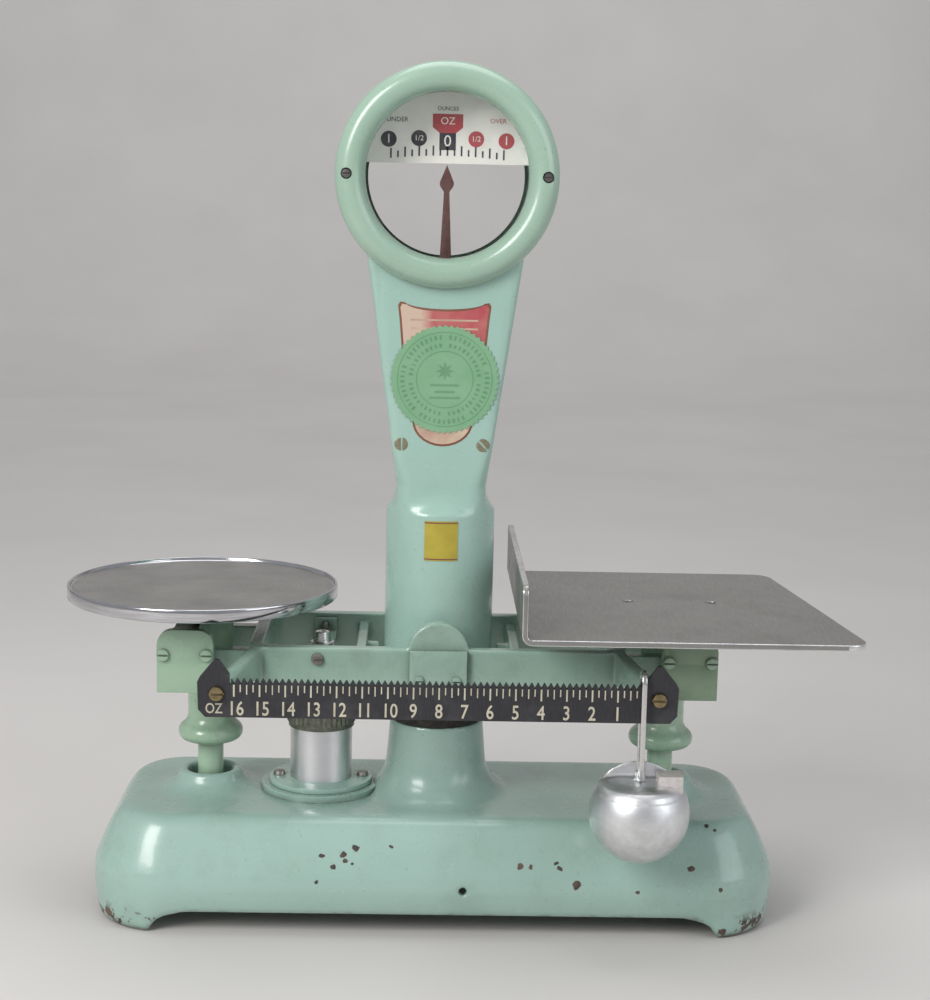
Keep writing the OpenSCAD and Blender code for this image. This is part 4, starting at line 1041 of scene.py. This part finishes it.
# ---- CAD nodes that stay, with their materials
kept = {"front_glass": "glass", "rear_glass": "glass", "dial_chart": "card", "graduated_beam": "beam"}
kept |= dict.fromkeys((
    "fulcrum_bearings", "stand_screws", "bracket_screws", "check_pin", "fulcrum_knife", "left_knives",
    "right_knives", "left_bearings", "right_bearings", "left_spider_screws", "right_spider_screws",
    "left_link_pin", "right_link_pin", "damper_plunger"), "steel")
for node, material in kept.items():
    for finish in frame["nodes"][node].material_slots:
        finish.material = M[material]


# ---- floor, light and camera
def build_stage():
    s = Shader("floor")
    color = s.mix(s.ramp(s.noise(3, 3), 0.3, 0.7), (0.62, 0.60, 0.58), (0.58, 0.56, 0.54))
    material = s.done(color, 0.6)
    bm = bmesh.new()
    reach, depth, height, bend = 5000, 4500, 5000, 1500
    path = [(-4500, 0)] + [(depth - bend + bend * math.sin(a), bend - bend * math.cos(a))
                           for a in (math.radians(i * 9) for i in range(11))] + [(depth, height)]
    rows = [[bm.verts.new((x, y, z)) for y, z in path] for x in (-reach, reach)]
    for i in range(len(path) - 1):
        bm.faces.new((rows[0][i], rows[0][i + 1], rows[1][i + 1], rows[1][i]))
    floor = link("floor", bm, 60)
    floor.data.materials.append(material)


def area_light(name, power, size, at, aim, color=(1, 1, 1)):
    light = bpy.data.lights.new(name, "AREA")
    light.shape = "RECTANGLE"
    light.size, light.size_y = size
    light.energy = power
    light.color = color
    obj = bpy.data.objects.new(name, light)
    scene.collection.objects.link(obj)
    obj.location = at
    obj.rotation_euler = (Vector(aim) - Vector(at)).to_track_quat("-Z", "Y").to_euler()
    return obj


def build_light():
    world = bpy.data.worlds.new("studio")
    scene.world = world
    world.use_nodes = True
    world.node_tree.nodes["Background"].inputs[0].default_value = (0.93, 0.95, 1.0, 1)
    world.node_tree.nodes["Background"].inputs[1].default_value = 0.42
    area_light("window", 29, (0.7, 1.1), (-1.1, -1.3, 1.25), (0, 0, 0.2), (1.0, 0.99, 0.97))
    area_light("fill", 9, (1.2, 1.2), (1.5, -1.0, 0.9), (0, 0, 0.2), (0.95, 0.97, 1.0))
    area_light("top", 10, (1.4, 1.0), (0.1, 0.2, 1.7), (0, 0, 0.1))
    area_light("backdrop", 35, (4.0, 1.5), (0, 2.2, 2.8), (0, 4.5, 1.4))


def build_camera():
    yaw, pitch, roll = 0.02264, 0.15779, 0.02152
    ahead = Vector((math.sin(yaw) * math.cos(pitch), math.cos(yaw) * math.cos(pitch), -math.sin(pitch)))
    level = Vector((math.cos(yaw), -math.sin(yaw), 0))
    up = level.cross(ahead)
    right = level * math.cos(roll) + up * math.sin(roll)
    rise = up * math.cos(roll) - level * math.sin(roll)
    camera = bpy.data.objects.new("camera", bpy.data.cameras.new("camera"))
    scene.collection.objects.link(camera)
    camera.data.sensor_width = 36
    camera.data.lens = 68.4
    camera.data.clip_end = 50
    turn = Matrix((right, rise, -ahead)).transposed().to_4x4()
    camera.matrix_world = Matrix.Translation((-0.01112, -1.15050, 0.43382)) @ turn
    scene.camera = camera


build_stage()
build_light()
build_camera()
scene.view_settings.view_transform = "Standard"
